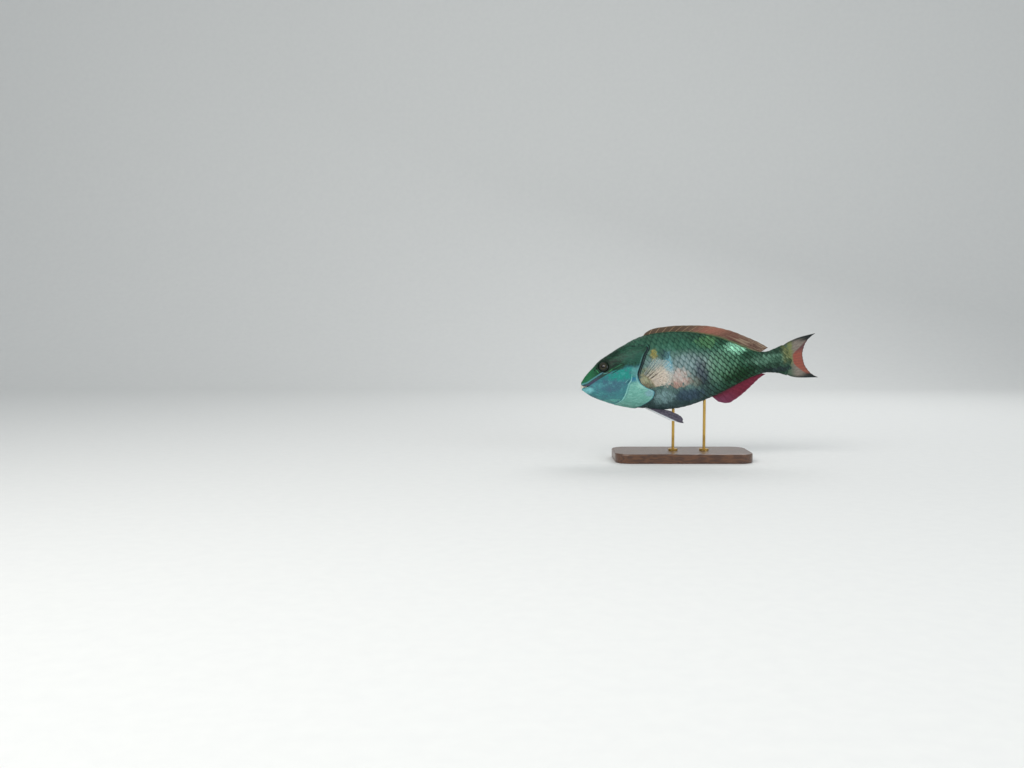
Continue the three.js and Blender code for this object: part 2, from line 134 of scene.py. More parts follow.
def body(x, angle, grow=0.0):
    """The body's surface: angle 0 is the right side, a quarter turn the back, a half turn the left side."""
    x, angle = np.broadcast_arrays(np.asarray(x, float), np.asarray(angle, float))
    up, out = np.sin(angle), np.cos(angle)
    power = 2 / np.where(up > 0, upper_fullness(x), lower_fullness(x))
    reach = np.where(up > 0, back(x) - widest(x), widest(x) - belly(x))
    y = np.sign(out) * np.abs(out) ** power * (half_width(x) + grow)
    z = widest(x) + np.sign(up) * np.abs(up) ** power * (reach + grow)
    return np.stack([x, y, z], axis=-1)


def angle_at(x, z, side):
    """The angle at which the body's side has height z."""
    above = z > widest(x)
    reach = np.where(above, back(x) - widest(x), widest(x) - belly(x))
    fullness = np.where(above, upper_fullness(x), lower_fullness(x))
    share = np.clip(np.abs(z - widest(x)) / reach, 0, 1)
    angle = np.arcsin(share ** (fullness / 2)) * np.where(above, 1, -1)
    return np.where(side > 0, angle, np.pi - angle)


# %% Lines on the head, and the places of eyes, nostrils and mouth
gill_edge = curve([(-70, 52), (-56, 72), (-48, 98), (-37, 116), (-27, 119.6), (-18, 106.6), (-8, 97.2),
                   (3, 95.8), (23, 104.4), (36, 110.4), (48, 117.6), (58, 111), (72, 100), (90, 96)])
cover_front = curve([(-70, 20), (-46, 42), (-41, 54), (-35, 65), (-24, 72), (-11, 77.4), (-2, 83),
                     (8, 84.6), (22, 82), (40, 94)])
cheek_top = curve([(-20, -10), (0, -3.5), (12, -3), (26, 6), (42, 12.6), (69, 18), (80, 19.9), (94, 21),
                   (120, 23)])
mauve_line = curve([(0, -6.4), (8.8, -4.5), (18.7, 0.6), (29.6, 6.2), (40.5, 11.6), (47.8, 15.4), (60, 20)])
EYE_X, EYE_Z, EYE_RADIUS, EYE_BULGE, EYE_SUNK = 40.0, 24.5, 9.0, 6.2, 3.2
NOSTRILS = ((24.5, 19.2, 1.0), (28.4, 22.0, 1.4))
MOUTH_CORNER = 14.5
COVER_RISE, COVER_TOP = 1.2, (46, 58)
COAT_DEPTH = 0.9


def coat_depth(x):
    """How deep the skin lies under the scales' tops: less at the thin root of the tail."""
    return COAT_DEPTH - 0.6 * smooth(322, 348, x)


print("the body is", round(float(np.max(back(np.arange(350)) - belly(np.arange(350)))), 1), "mm deep")

# %% [markdown]
# Meshes from arrays
# Skin, scales and fins all are grids of points. Writing whole arrays into a mesh is far quicker than adding
# faces one by one, and it lets each point carry named numbers, such as how far it lies from the gill edge.
# The finishes read those numbers later. A flat map of each piece goes with it, for whoever bakes its
# colours.

# %% Build a piece from arrays
PIECES = {}


def add(name, data):
    """A new object in the scene."""
    made = bpy.data.objects.new(name, data)
    bpy.context.scene.collection.objects.link(made)
    return made


def build(name, points, faces, flat_map, sharp=False, **numbers):
    """A shaded piece from level fish millimetres, its faces' flat map and the numbers that its points carry.
    sharp marks the faces that keep their edges, such as those of a thin rim."""
    mesh = bpy.data.meshes.new(name)
    faces = np.asarray(faces, np.int32)
    mesh.vertices.add(len(points))
    mesh.vertices.foreach_set("co", placed(points).astype(np.float32).ravel())
    mesh.loops.add(faces.size)
    mesh.loops.foreach_set("vertex_index", faces.ravel())
    mesh.polygons.add(len(faces))
    mesh.polygons.foreach_set("loop_start", np.arange(0, faces.size, faces.shape[1], dtype=np.int32))
    mesh.polygons.foreach_set("use_smooth", ~np.broadcast_to(sharp, len(faces)))
    mesh.update(calc_edges=True)
    layer = mesh.uv_layers.new(name="OFBake")
    layer.data.foreach_set("uv", np.asarray(flat_map, np.float32).reshape(-1, 2).ravel())
    for label, values in numbers.items():
        kind, part = ("FLOAT_VECTOR", "vector") if np.ndim(values) == 2 else ("FLOAT", "value")
        carried = mesh.attributes.new(label, kind, "POINT")
        carried.data.foreach_set(part, np.asarray(values, np.float32).ravel())
    mesh.validate()
    piece = PIECES[name] = add(name, mesh)
    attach(piece, "root")
    print(f"{name}: {len(points)} points, {len(faces)} faces")
    return piece


def grid_faces(rows, columns, closed=False):
    """Four-sided faces over a grid of points, row by row; closed joins the last column to the first."""
    r, c = np.meshgrid(np.arange(rows - 1), np.arange(columns if closed else columns - 1), indexing="ij")
    after = (c + 1) % columns
    return np.stack([r * columns + c, r * columns + after, (r + 1) * columns + after, (r + 1) * columns + c],
                    axis=-1).reshape(-1, 4)


def grid_map(u, v):
    """The flat map of grid_faces: u has one more value than there are face columns, v one value a row."""
    r, c = np.meshgrid(np.arange(len(v) - 1), np.arange(len(u) - 1), indexing="ij")
    corners = [(c, r), (c + 1, r), (c + 1, r + 1), (c, r + 1)]
    return np.stack([np.stack([u[i], v[j]], axis=-1) for i, j in corners], axis=-2).reshape(-1, 4, 2)


def border_of(rows, columns):
    """The points round a grid's border, and for each the one that follows it."""
    order = np.arange(rows * columns).reshape(rows, columns)
    border = np.concatenate([order[0, :-1], order[:-1, -1], order[-1, :0:-1], order[:0:-1, 0]])
    return border, np.roll(border, -1)


# %% [markdown]
# What each point knows about the fish
# A fish's markings follow its anatomy: the mauve band runs to the mouth corner. So does painted shade: a
# dark painted shadow lies along the gill edge. So each point gets its signed distance, in millimetres, from
# those lines. The finishes turn distances into colour with soft steps and a little noise, and because skin
# and scales carry the same numbers, their markings and painted shadows agree.

# %% Distances from the fish's lines
def marks(points):
    """The numbers that skin and scales carry, from level fish places."""
    x, _, z = points.T
    return {
        "place": points / 100,
        "height": (z - belly(x)) / np.maximum(back(x) - belly(x), 1),
        "behind_gill": x - gill_edge(z),
        "behind_cheek": x - cover_front(z),
        "over_cheek": z - cheek_top(x),
        "over_band": z - mauve_line(x),
        "from_eye": np.hypot(x - EYE_X, z - EYE_Z),
    }


# %% [markdown]
# The skin
# One sheet covers the fish from inside its lips to the root of its tail. It could be sculpted, but a grid
# whose rows start on the lips and flow into rings round the body keeps every crease under control. At the
# gill edge the sheet folds under itself and runs on beneath, as a real gill cover overlaps the shoulder. On
# the nape the fold dies out.

# %% The lips' outline
COLUMNS = 240
angles = np.linspace(0, 2 * np.pi, COLUMNS, endpoint=False)
upward = np.sign(np.sin(angles).round(9))
side_of = np.sign(np.cos(angles).round(9))
from_middle = 1 - np.abs(np.abs((angles % np.pi) - np.pi / 2) / (np.pi / 2) - 1)
to_corner = from_middle ** 1.6
LIP_FRONT, MOUTH_HEIGHT, MOUTH_RISE, GAPE, GAPE_LOST = 1.6, -6.9, 1.5, 2.2, 2.05

lip_x = LIP_FRONT + (MOUTH_CORNER - LIP_FRONT) * to_corner
lip_out = (half_width(lip_x) - 0.4) * np.minimum(1, np.sqrt(2.6 * from_middle))
lip_z = MOUTH_HEIGHT + MOUTH_RISE * lip_x / MOUTH_CORNER + upward * (GAPE - GAPE_LOST * lip_x / MOUTH_CORNER)
lips = np.stack([lip_x, side_of * lip_out, lip_z], axis=1)

# %% Where each column leaves the lips and where it meets the gill edge
start_x = MOUTH_CORNER * to_corner
reach = np.where(upward >= 0, back(start_x) - widest(start_x), widest(start_x) - belly(start_x))
by_height = np.arcsin(np.clip((np.abs(lip_z - widest(start_x)) + 1.0) / reach, 0, 1))
by_width = np.arccos(np.clip(lip_out / half_width(start_x), 0, 1))
turn = by_width + (by_height - by_width) * smooth(0.25, 0.55, from_middle)
turn = turn * np.where(upward == 0, 0, upward)
start_angle = np.where(side_of >= 0, turn, np.pi - turn) % (2 * np.pi)
start_angle = np.where(np.abs(start_angle - angles) > np.pi, start_angle - 2 * np.pi, start_angle)

HALVINGS = 40
low, high = np.full(COLUMNS, 55.0), np.full(COLUMNS, 140.0)
for _ in range(HALVINGS):
    middle = (low + high) / 2
    before = gill_edge(body(middle, angles)[:, 2]) > middle
    low, high = np.where(before, middle, low), np.where(before, high, middle)
edge_x = (low + high) / 2
edge_z = body(edge_x, angles)[:, 2]
fold = 1 - smooth(46, 56, edge_z)
print("the gill edge lies", edge_x.min().round(), "to", edge_x.max().round(), "mm behind the snout")


# %% Where the skin rises over a fin's pad, and where scales cover it
PAD_X, PAD_Z, PAD_RISE, PAD_LENGTH, PAD_WIDTH = 110, -8.5, 3.0, 13, 5
PAD_RUN, PAD_CLIMB = 0.643, 0.766
NAPE_X, NAPE_Z, NAPE_SLOPE = 62, 31, 0.36


def pad_rise(x, z):
    """Rise of the fleshy pad that a breast fin grows from, which slants down towards the tail."""
    ahead, up = x - PAD_X, z - PAD_Z
    along, off = PAD_RUN * ahead - PAD_CLIMB * up, PAD_CLIMB * ahead + PAD_RUN * up
    return PAD_RISE * bell(along, PAD_LENGTH) * bell(off, PAD_WIDTH) * smooth(0, 6, x - gill_edge(z))


def scaled(x, z):
    """1 where scales cover the skin: behind the gill edge and on the nape."""
    nape = smooth(NAPE_X, 90, x) * smooth(-3, 5, z - (NAPE_Z + NAPE_SLOPE * (x - NAPE_X)))
    return np.maximum(smooth(-1, 1, x - gill_edge(z)), nape)


# %% How far the head's skin rises or sinks at each place
def head_relief(x, z):
    """Rise of the head's skin over the plain body, in millimetres."""
    rise = COVER_RISE * smooth(55, 95, x) * (1 - smooth(*COVER_TOP, z))
    from_eye = np.hypot(x - EYE_X, z - EYE_Z)
    socket = 1 - smooth(7.9, 9.2, from_eye)
    rise += 0.75 * bell(from_eye - 10.2, 1.5) + 0.35 * bell(from_eye - 13, 3) - 3.6 * socket
    for nostril_x, nostril_z, size in NOSTRILS:
        away = np.hypot(x - nostril_x, z - nostril_z)
        rise += 0.35 * bell(away - 1.5 * size, 0.7) - 1.5 * bell(away, 0.75 * size)
    cover = x - cover_front(z)
    step = 0.35 * smooth(-0.6, 0.6, cover) - 0.6 * bell(cover + 1.3, 1.0) - 0.2 * smooth(0, 16, cover)
    rise += (1 - smooth(18, 34, z - 0.25 * (x - 80))) * step
    past_corner = x - MOUTH_CORNER
    jaw_fold = bell(z - (-7.5 - 0.72 * past_corner - 0.004 * past_corner ** 2), 1.1)
    rise -= 0.55 * jaw_fold * smooth(13, 18, x) * (1 - smooth(34, 44, x))
    cheek_fold = bell(z - (mauve_line(x) - 7), 1.2)
    rise -= 0.3 * cheek_fold * smooth(12, 18, x) * (1 - smooth(30, 42, x))
    throat = smooth(30, 50, x) * smooth(2, 8, belly(x) + 16 - z)
    rise += throat * 0.25 * np.sin((z - belly(x)) * 1.1 + 0.02 * x)
    unevenness = np.sin(0.31 * x + 0.05 * z) * np.sin(0.27 * z - 0.11 * x)
    return rise + 0.12 * unevenness * smooth(12, 30, x)


# %% First rows of the sheet: inside the lips, then over the face to the gill edge
FACE_ROWS = 190
MOUTH_MIDDLE, INWARD = np.array([11.0, 0.0, -5.9]), np.array([0.42, 0.3, 0.18])
rows = []
for depth in (1.0, 0.72, 0.45, 0.2, 0.05):
    shrunk = lips + (MOUTH_MIDDLE - lips) * INWARD * depth
    shrunk[:, 0] += 2.6 * depth
    rows.append(shrunk)
lip_ring = len(rows)
for t in np.linspace(0, 1, FACE_ROWS):
    x = start_x + (edge_x - start_x) * t**1.3
    angle = start_angle + (angles - start_angle) * smooth(0, 0.32, t)
    plain = body(x, angle)
    grown = body(x, angle, head_relief(x, plain[:, 2]) - coat_depth(x) * scaled(x, plain[:, 2]))
    ring = lips + (grown - lips) * smooth(0, 0.055, t)
    swell = 1.5 * bell(t - 0.024, 0.02) * (0.6 + 0.4 * (1 - from_middle))
    outward = body(x, angle, 1.0) - plain
    outward[:, 0] -= 0.9 * (1 - from_middle)
    rows.append(ring + outward * swell[:, None])

# %% Then the fold under the gill edge, and the flanks
FLANK_ROWS, SKIN_END, DEEPEST = 104, 352, -2.4
FOLD_STEPS = [(-0.35, 0.12), (-0.6, 0.45), (-0.5, 0.9), (0.1, 1.25), (1.6, 1.5), (3.6, 1.8), (5.6, 2.1)]
edge_rise = COVER_RISE * (1 - smooth(*COVER_TOP, edge_z)) - coat_depth(edge_x) * scaled(edge_x, edge_z)
for k, (ahead, sink) in enumerate(FOLD_STEPS):
    x = edge_x - fold * ahead + (1 - fold) * 0.2 * (k + 1)
    unfolded = -coat_depth(x)
    folded = fold * np.maximum(edge_rise - sink, DEEPEST) + (1 - fold) * unfolded
    rows.append(body(x, angles, np.where(fold > 0.02, folded, unfolded)))
tuck_x = edge_x - fold * FOLD_STEPS[-1][0] + (1 - fold) * 1.6
for t in np.linspace(0, 1, FLANK_ROWS)[1:]:
    x = tuck_x + (SKIN_END - tuck_x) * t
    settle = smooth(0, 0.05, t)
    depth = coat_depth(x) * (settle + (1 - settle) * (1 + fold))
    row = body(x, angles, pad_rise(x, body(x, angles)[:, 2]) - depth)
    row[:, 1] *= 1 - 0.7 * smooth(SKIN_END - 6, SKIN_END, x)
    row[:, 2] += (widest(x) - row[:, 2]) * 0.07 * smooth(SKIN_END - 14, SKIN_END, x)
    rows.append(row)
sheet = np.array(rows)
print(len(rows), "rows of", COLUMNS, "points make the skin")

# %% Lay the skin over the flesh solids
ring_step = np.linalg.norm(np.diff(sheet, axis=0), axis=2).mean(axis=1)
down = np.concatenate([[0], np.cumsum(ring_step)])
seam = np.roll(np.arange(COLUMNS), COLUMNS // 4)
skin_points = sheet[:, seam].reshape(-1, 3)
skin_faces = grid_faces(len(rows), COLUMNS, closed=True)[:, ::-1]
skin_map = grid_map(np.arange(COLUMNS + 1) / COLUMNS * 0.98 + 0.01, down / down[-1] * 0.98 + 0.01)[:, ::-1]
from_lip = np.clip((np.repeat(np.arange(len(rows)), COLUMNS) - lip_ring) / FACE_ROWS, -0.03, 1)
skin = build("skin", skin_points, skin_faces, skin_map, from_lip=from_lip, **marks(skin_points))
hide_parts("head", "gill_cover_left", "gill_cover_right", "trunk", "tail_stalk")

# %% [markdown]
# The scales
# Parrotfish wear large thin plates in rows along the body, each one lapped by its neighbours in front, like
# tiles on a roof. Painting them would look flat from close by, so every scale here is a closed shell of its
# own: buried in front, lifted at its rounded rear edge. The rows narrow towards the tail, but less than the
# body does, so fewer fit on the tail stalk.

# %% A flank that can be measured with a tape
STATIONS = np.linspace(55, 362, 308)
TAPE = np.linspace(-100, 100, 401)
TAIL_HALF_WIDTH, MID_LINE = 1.6, 0.6


def tape_table():
    """Places on the left flank by distance from the snout and by girth measured up from the mid line."""
    table = np.zeros((len(STATIONS), len(TAPE), 3))
    ring_angles = np.linspace(-0.1 * np.pi, 1.9 * np.pi, 1601)[::-1]
    for i, x in enumerate(STATIONS):
        ring = body(x, ring_angles, max(0, TAIL_HALF_WIDTH - float(half_width(x))))
        length = np.concatenate([[0], np.cumsum(np.linalg.norm(np.diff(ring, axis=0), axis=1))])
        mid = float(angle_at(x, widest(x) * MID_LINE, LEFT))
        zero = np.interp(-mid, -ring_angles, length)
        for axis in range(3):
            table[i, :, axis] = np.interp(TAPE, length - zero, ring[:, axis])
    return table


FLANK = tape_table()
girth_to_back = TAPE[np.argmax(FLANK[:, :, 2], axis=1)]
girth_to_belly = TAPE[np.argmin(FLANK[:, :, 2], axis=1)]


def flank_place(x, girth):
    """Left flank places at distances from the snout and girths from the mid line."""
    i = np.clip((x - STATIONS[0]) / (STATIONS[1] - STATIONS[0]), 0, len(STATIONS) - 1.001)
    j = np.clip((girth - TAPE[0]) / (TAPE[1] - TAPE[0]), 0, len(TAPE) - 1.001)
    i0, j0 = np.int64(i), np.int64(j)
    fi, fj = (i - i0)[..., None], (j - j0)[..., None]
    return ((FLANK[i0, j0] * (1 - fj) + FLANK[i0, j0 + 1] * fj) * (1 - fi)
            + (FLANK[i0 + 1, j0] * (1 - fj) + FLANK[i0 + 1, j0 + 1] * fj) * fi)


def flank_outward(x, girth):
    """The directions square to the left flank at such places."""
    ahead = flank_place(x + 1, girth) - flank_place(x - 1, girth)
    above = flank_place(x, girth + 1) - flank_place(x, girth - 1)
    outward = np.cross(ahead, above)
    outward /= np.linalg.norm(outward, axis=-1, keepdims=True)
    return outward * np.where(outward[..., 1:2].mean() < 0, 1, -1)


print("girth above the mid line at mid body:", round(float(girth_to_back[90])), "mm")

# %% One scale's shape
PLATE_ROWS, PLATE_COLUMNS = 10, 9
ROUNDED_FROM, ROUNDNESS = 0.2, 2.3
lengthwise, crosswise = np.meshgrid(
    np.linspace(-1, 1, PLATE_ROWS), np.linspace(-1, 1, PLATE_COLUMNS), indexing="ij")
into_tip = np.clip((lengthwise - ROUNDED_FROM) / (1.01 - ROUNDED_FROM), 0, 1)
rounded = (1 - into_tip**ROUNDNESS) ** (1 / ROUNDNESS)
plate_across = crosswise * rounded * (1 - 0.3 * smooth(-0.4, -1, lengthwise))
plate_rim = 1 - (into_tip**ROUNDNESS + np.abs(plate_across) ** ROUNDNESS) ** (1 / ROUNDNESS)
count = PLATE_ROWS * PLATE_COLUMNS
top = grid_faces(PLATE_ROWS, PLATE_COLUMNS)
border, following = border_of(PLATE_ROWS, PLATE_COLUMNS)
wall = np.stack([border, border + count, following + count, following], axis=1)
plate_faces = np.concatenate([top, top[:, ::-1] + count, wall])
is_top, is_wall = np.arange(len(plate_faces)) < len(top), np.arange(len(plate_faces)) >= 2 * len(top)
print("each scale has", len(plate_faces), "faces")

# %% Its cell of the flat map: the face above, the underside and the rim in strips below
cell_u = (plate_faces % count % PLATE_COLUMNS) / (PLATE_COLUMNS - 1)
cell_v = (plate_faces % count // PLATE_COLUMNS) / (PLATE_ROWS - 1)
cell_v = np.where(is_top[:, None], 0.15 + 0.83 * cell_v, 0.02 + 0.05 * cell_v)
cell_u[is_wall] = np.arange(len(wall))[:, None] / len(wall) + np.array([0, 0, 1, 1]) / len(wall)
cell_v[is_wall] = np.where(wall >= count, 0.09, 0.11)


# %% Where the scales sit
ROWS_UP = 12
row_width = curve([(60, 12), (120, 14.2), (200, 13.6), (260, 11.4), (316, 8.8), (335, 7.2), (352, 5.4)])
column_step = curve([(60, 4.4), (120, 5.1), (200, 5.0), (260, 4.6), (316, 4.1), (335, 3.2), (352, 2.4)])
chance = np.random.default_rng(11)
sites = []
TAIL_ARC, LEAN = 354, 0.22
station, column = 76.0, 0
while station < TAIL_ARC + 10:
    width, step = float(row_width(station)), float(column_step(station))
    for row in range(-ROWS_UP, ROWS_UP + 1):
        girth = (row + 0.5 * (column % 2)) * width
        x = station - LEAN * girth
        top, bottom = np.interp(x, STATIONS, girth_to_back), np.interp(x, STATIONS, girth_to_belly)
        off_middle = (2 * girth - top - bottom) / (top - bottom)
        if abs(off_middle) < 0.98 and x < TAIL_ARC - 15 * off_middle**2:
            spot = flank_place(x, girth)
            if scaled(spot[0], spot[2]) > 0.35:
                sites.append((x, girth, width, step, column, row))
    station += step
    column += 1
cell_width, cell_height = 1 / column, 1 / (2 * ROWS_UP + 1)
print(len(sites), "scales on each flank in", column, "columns")


# %% Lay the coat on one flank
HALF_ROW, HALF_LENGTH, THICKNESS = 0.58, 1.95, 0.24
GOLDEN_SHARE = 0.618034


def lay_coat(name, side):
    """All scales of one flank, each nearly four columns long. Besides its marks a scale carries the place of
    its middle and, in scale_spot, each point's place on it and a number of its own."""
    points, faces, maps, spots, centres = [], [], [], [], []
    for n, (x0, girth0, width, step, column, row) in enumerate(sites):
        girth = girth0 + plate_across * width * (HALF_ROW - 0.02 * chance.random())
        x = x0 + lengthwise * step * HALF_LENGTH - LEAN * (girth - girth0) + 0.08 * chance.normal()
        girth = np.clip(girth, np.interp(x, STATIONS, girth_to_belly), np.interp(x, STATIONS, girth_to_back))
        spot, outward = flank_place(x, girth), flank_outward(x, girth)
        spot = spot + outward * pad_rise(spot[..., 0], spot[..., 2])[..., None]
        relief = coat_depth(x) / COAT_DEPTH
        lift = relief * (-0.55 + 0.58 * lengthwise + 0.03 * chance.normal() + 0.08 * (1 - crosswise**2))
        lift -= 0.42 * smooth(96, 66, x0)
        top = spot + outward * lift[..., None]
        under = spot + outward * (lift - THICKNESS * relief)[..., None]
        both = np.concatenate([top.reshape(-1, 3), under.reshape(-1, 3)])
        both[:, 1] *= -side
        points.append(both)
        faces.append(plate_faces[:, ::-side] + n * 2 * count)
        u = column * cell_width + cell_width * (0.03 + 0.94 * cell_u)
        v = (row + ROWS_UP) * cell_height + cell_height * cell_v
        maps.append(np.stack([u, v], axis=-1)[:, ::-side])
        own_number = np.full(count, n * GOLDEN_SHARE % 1)
        spots.append(np.column_stack([lengthwise.ravel(), plate_across.ravel(), own_number]))
        centres.append(np.tile(flank_place(x0 + 0.55 * step, girth0) / 100, (2 * count, 1)))
    points = np.concatenate(points)
    spots = np.tile(np.stack(spots), (1, 2, 1)).reshape(-1, 3)
    rims = np.tile(plate_rim.ravel(), 2 * len(sites))
    return build(name, points, np.concatenate(faces), np.concatenate(maps), np.tile(is_wall, len(sites)),
                 scale_spot=spots, rim=rims, centre=np.concatenate(centres), **marks(points))


# %% Coat both flanks
scales_left = lay_coat("scales_left", LEFT)
scales_right = lay_coat("scales_right", RIGHT)

# %% [markdown]
# The fins
# A fin is a thin web stretched over spines and soft rays. Soft rays fork towards the tip, and the web
# between them is no thicker than paper. One grid with both faces does it: each point's thickness comes from
# how near it lies to a ray, so a ray stands up as a fine ridge and its branches fan out by themselves.

# %% Spread a fin
FIRST_FORK, SECOND_FORK = 0.17, 0.07


def straight(root, tip):
    return lambda u, v: root(u) + (tip(u) - root(u)) * v[:, None]


def spread_fin(name, rays, path, normal, web, bone, notch, rows, per_ray=12, spines=0, bow=0.0, wave=0.0):
    """A fin whose ray u, 0 to 1, runs along path(u, v); web and bone give half thicknesses. The first rays
    are unforked spines, the web is notched between the tips, and the whole fin may be bowed and wavy."""
    columns = (rays - 1) * per_ray + 1
    u = np.linspace(0, 1, columns)
    v = np.linspace(0, 1, rows) ** 0.9
    across = normal(u)
    nearest = np.round(u * (rays - 1))
    off = u * (rays - 1) - nearest
    soft = (nearest >= spines).astype(float)
    place, ridge, depth = [], [], []
    for height in v:
        first = FIRST_FORK * soft * smooth(0.3, 0.85, height)
        second = SECOND_FORK * soft * smooth(0.62, 1, height)
        branch = np.abs(np.abs(np.abs(off) - first) - second)
        ridge.append(bell(branch, 0.075 + 0.03 * (1 - height)))
        depth.append(web(height) + bone(height) * ridge[-1])
        dip = 1 - notch * (1 - bell(off, 0.3)) * smooth(0.6, 1, height)
        curl = bow * np.sin(np.pi * height) + wave * height * np.sin(u * 17 + 1)
        place.append(path(u, height * dip) + across * curl[:, None])
    offset = across * np.array(depth)[..., None]
    points = np.concatenate([(place + offset).reshape(-1, 3), (place - offset).reshape(-1, 3)])
    count = rows * columns
    side_faces = grid_faces(rows, columns)
    border, following = border_of(rows, columns)
    wall = np.stack([border, following, following + count, border + count], axis=1)
    faces = np.concatenate([side_faces[:, ::-1], side_faces + count, wall])
    near = grid_map(0.01 + 0.97 * u, 0.01 + 0.47 * v)[:, ::-1]
    far = grid_map(0.01 + 0.97 * u, 0.5 + 0.47 * v)
    strip = grid_map(np.linspace(0, 1, len(wall) + 1), np.array([0.985, 0.998]))
    sharp = np.arange(len(faces)) >= 2 * len(side_faces)
    return build(name, points, faces, np.concatenate([near, far, strip]), sharp,
                 place=points / 100, ridge=np.tile(np.ravel(ridge), 2),
                 along=np.tile(np.repeat(v, columns), 2), across=np.tile(u, 2 * rows))


def midplane(u):
    return np.tile([0.0, 1.0, 0.0], (len(u), 1))


def line(x, z):
    return np.stack([x, np.zeros_like(x), z], axis=1)


# %% Back fin and belly fin
dorsal_edge = curve([(111, 67), (118, 71.5), (127, 75.6), (140, 77.6), (160, 77.6), (192, 75), (220, 71),
                     (233, 67.8), (248, 62.6), (263, 56.6), (286, 44), (299, 36.6), (311, 28.6),
                     (320, 21.6)])
dorsal_lean = curve([(0, 7), (0.3, 19), (0.7, 33), (0.88, 33), (1, 17)])
anal_edge = curve([(216, -51), (227, -59.2), (243, -63.6), (257.6, -58), (273, -48.6), (288.7, -36.6),
                   (304, -25.8), (312, -22)])
anal_lean = curve([(0, 12), (0.4, 21), (0.8, 18), (1, 11)])


def row_fin(name, feet, rays, spines, profile, edge, lean, sunk):
    """A fin with its feet in a row on the body's outline, sunk into it, and its rays leaning back."""
    def foot(u):
        return feet[0] + (feet[1] - feet[0]) * u

    return spread_fin(
        name, rays,
        path=straight(lambda u: line(foot(u), profile(foot(u)) - sunk),
                      lambda u: line(foot(u) + lean(u), edge(foot(u) + lean(u)))),
        normal=midplane,
        web=lambda v: 0.95 - 0.75 * v, bone=lambda v: 0.62 - 0.34 * v,
        spines=spines, notch=0.018, wave=0.4, rows=26)


dorsal_fin = row_fin("fin_back", (110, 303), 19, 9, back, dorsal_edge, dorsal_lean, 3.2)
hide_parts("dorsal_fin")
anal_fin = row_fin("fin_anal", (215, 300), 12, 2, belly, anal_edge, anal_lean, -3.2)
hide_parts("anal_fin")

# %% Tail fin
TAIL_ROOT = 340
tail_top = curve([(345, 23.6), (375, 32.6), (401.5, 36)])
tail_bottom = curve([(345, -28.6), (364, -34.7), (398.5, -38.6)])
tail_fork = curve([(-1, 399), (-0.86, 390), (-0.62, 382.6), (-0.3, 377.6), (0.1, 376.4), (0.5, 380.6),
                   (0.8, 388.6), (1, 401.6)])


def tail_ray(u, v):
    """Rays that bend with the fin's upper and lower edges, drawn together a little at the root."""
    x = TAIL_ROOT + (tail_fork(2 * u - 1) - TAIL_ROOT) * v
    share = u + (0.5 - u) * 0.1 * (1 - smooth(0, 0.25, v))
    return line(x, tail_bottom(x) + (tail_top(x) - tail_bottom(x)) * share)


tail_fin = spread_fin(
    "fin_tail", 15,
    path=tail_ray,
    normal=midplane,
    web=lambda v: 1.25 - 1.05 * v, bone=lambda v: 0.55 - 0.3 * v,
    notch=0.012, rows=44, per_ray=15)
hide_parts("tail_fin")


# %% Breast and pelvic fins
def smooth_path(points):
    """A smooth path in space through a few points, by its share of the way."""
    stops = np.linspace(0, 1, len(points))
    parts = [curve(list(zip(stops, values))) for values in zip(*points)]
    return lambda u: np.stack([part(u) for part in parts], axis=1)


def flank_spot(x, z, side):
    return body(x, angle_at(x, z, side))


def belly_spot(x, out, side):
    share = np.clip(out / half_width(x), 0, 1)
    angle = np.arccos(share ** (lower_fullness(x) / 2))
    return body(x, np.where(side > 0, -angle, np.pi + angle))


def paired_fin(name, side, rays, root_ends, tips, root_spot, sunk, **looks):
    """One fin of a pair, from its root's ends on the body to a smooth line through its tips."""
    (x0, w0), (x1, w1) = root_ends
    outline = smooth_path([(x, side * out, z) for x, out, z in tips])

    def root(u):
        return root_spot(x0 + (x1 - x0) * u, w0 + (w1 - w0) * u, side) - sunk

    def normal(u):
        along = outline(u) - root(u)
        across = outline(np.minimum(1, u + 0.05)) - outline(np.maximum(0, u - 0.05))
        upright = np.cross(along, across)
        return upright / np.linalg.norm(upright, axis=1, keepdims=True)

    return spread_fin(name, rays, path=straight(root, outline), normal=normal, **looks)


BREAST_TIPS = [(119, 52, 29), (140, 57, 25), (152, 53, 5), (145, 41, -14)]
PELVIC_TIPS = [(141, 19, -78.8), (161.5, 21, -86), (162, 14, -78), (147, 8, -66.5)]
ROOT_SUNK = 2.4
for label, side in (("left", LEFT), ("right", RIGHT)):
    breast = paired_fin(
        f"fin_breast_{label}", side, 13, [(101.5, 2), (118, -18)], BREAST_TIPS, flank_spot,
        sunk=(0, side * ROOT_SUNK, 0), web=lambda v: 0.75 - 0.55 * v, bone=lambda v: 0.55 - 0.32 * v,
        bow=3 * side, notch=0.01, rows=34, wave=0.5)
    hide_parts(f"pectoral_fin_{label}")
    pelvic = paired_fin(
        f"fin_pelvic_{label}", side, 6, [(98, 6), (119, 2.4)], PELVIC_TIPS, belly_spot,
        sunk=(0, 0, -ROOT_SUNK), web=lambda v: 0.8 - 0.55 * v, bone=lambda v: 0.55 - 0.3 * v,
        spines=1, notch=0.02, rows=30, per_ray=14)
    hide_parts(f"pelvic_fin_{label}")

# %% [markdown]
# Eyes
# A fish's eye is a ball in a loose rim of skin, with a clear dome over a coloured iris. A single dome with
# a polished coat reads well at this size. Its mesh is a set of rings about the direction in which it looks,
# so iris and pupil are drawn by distance from the middle.

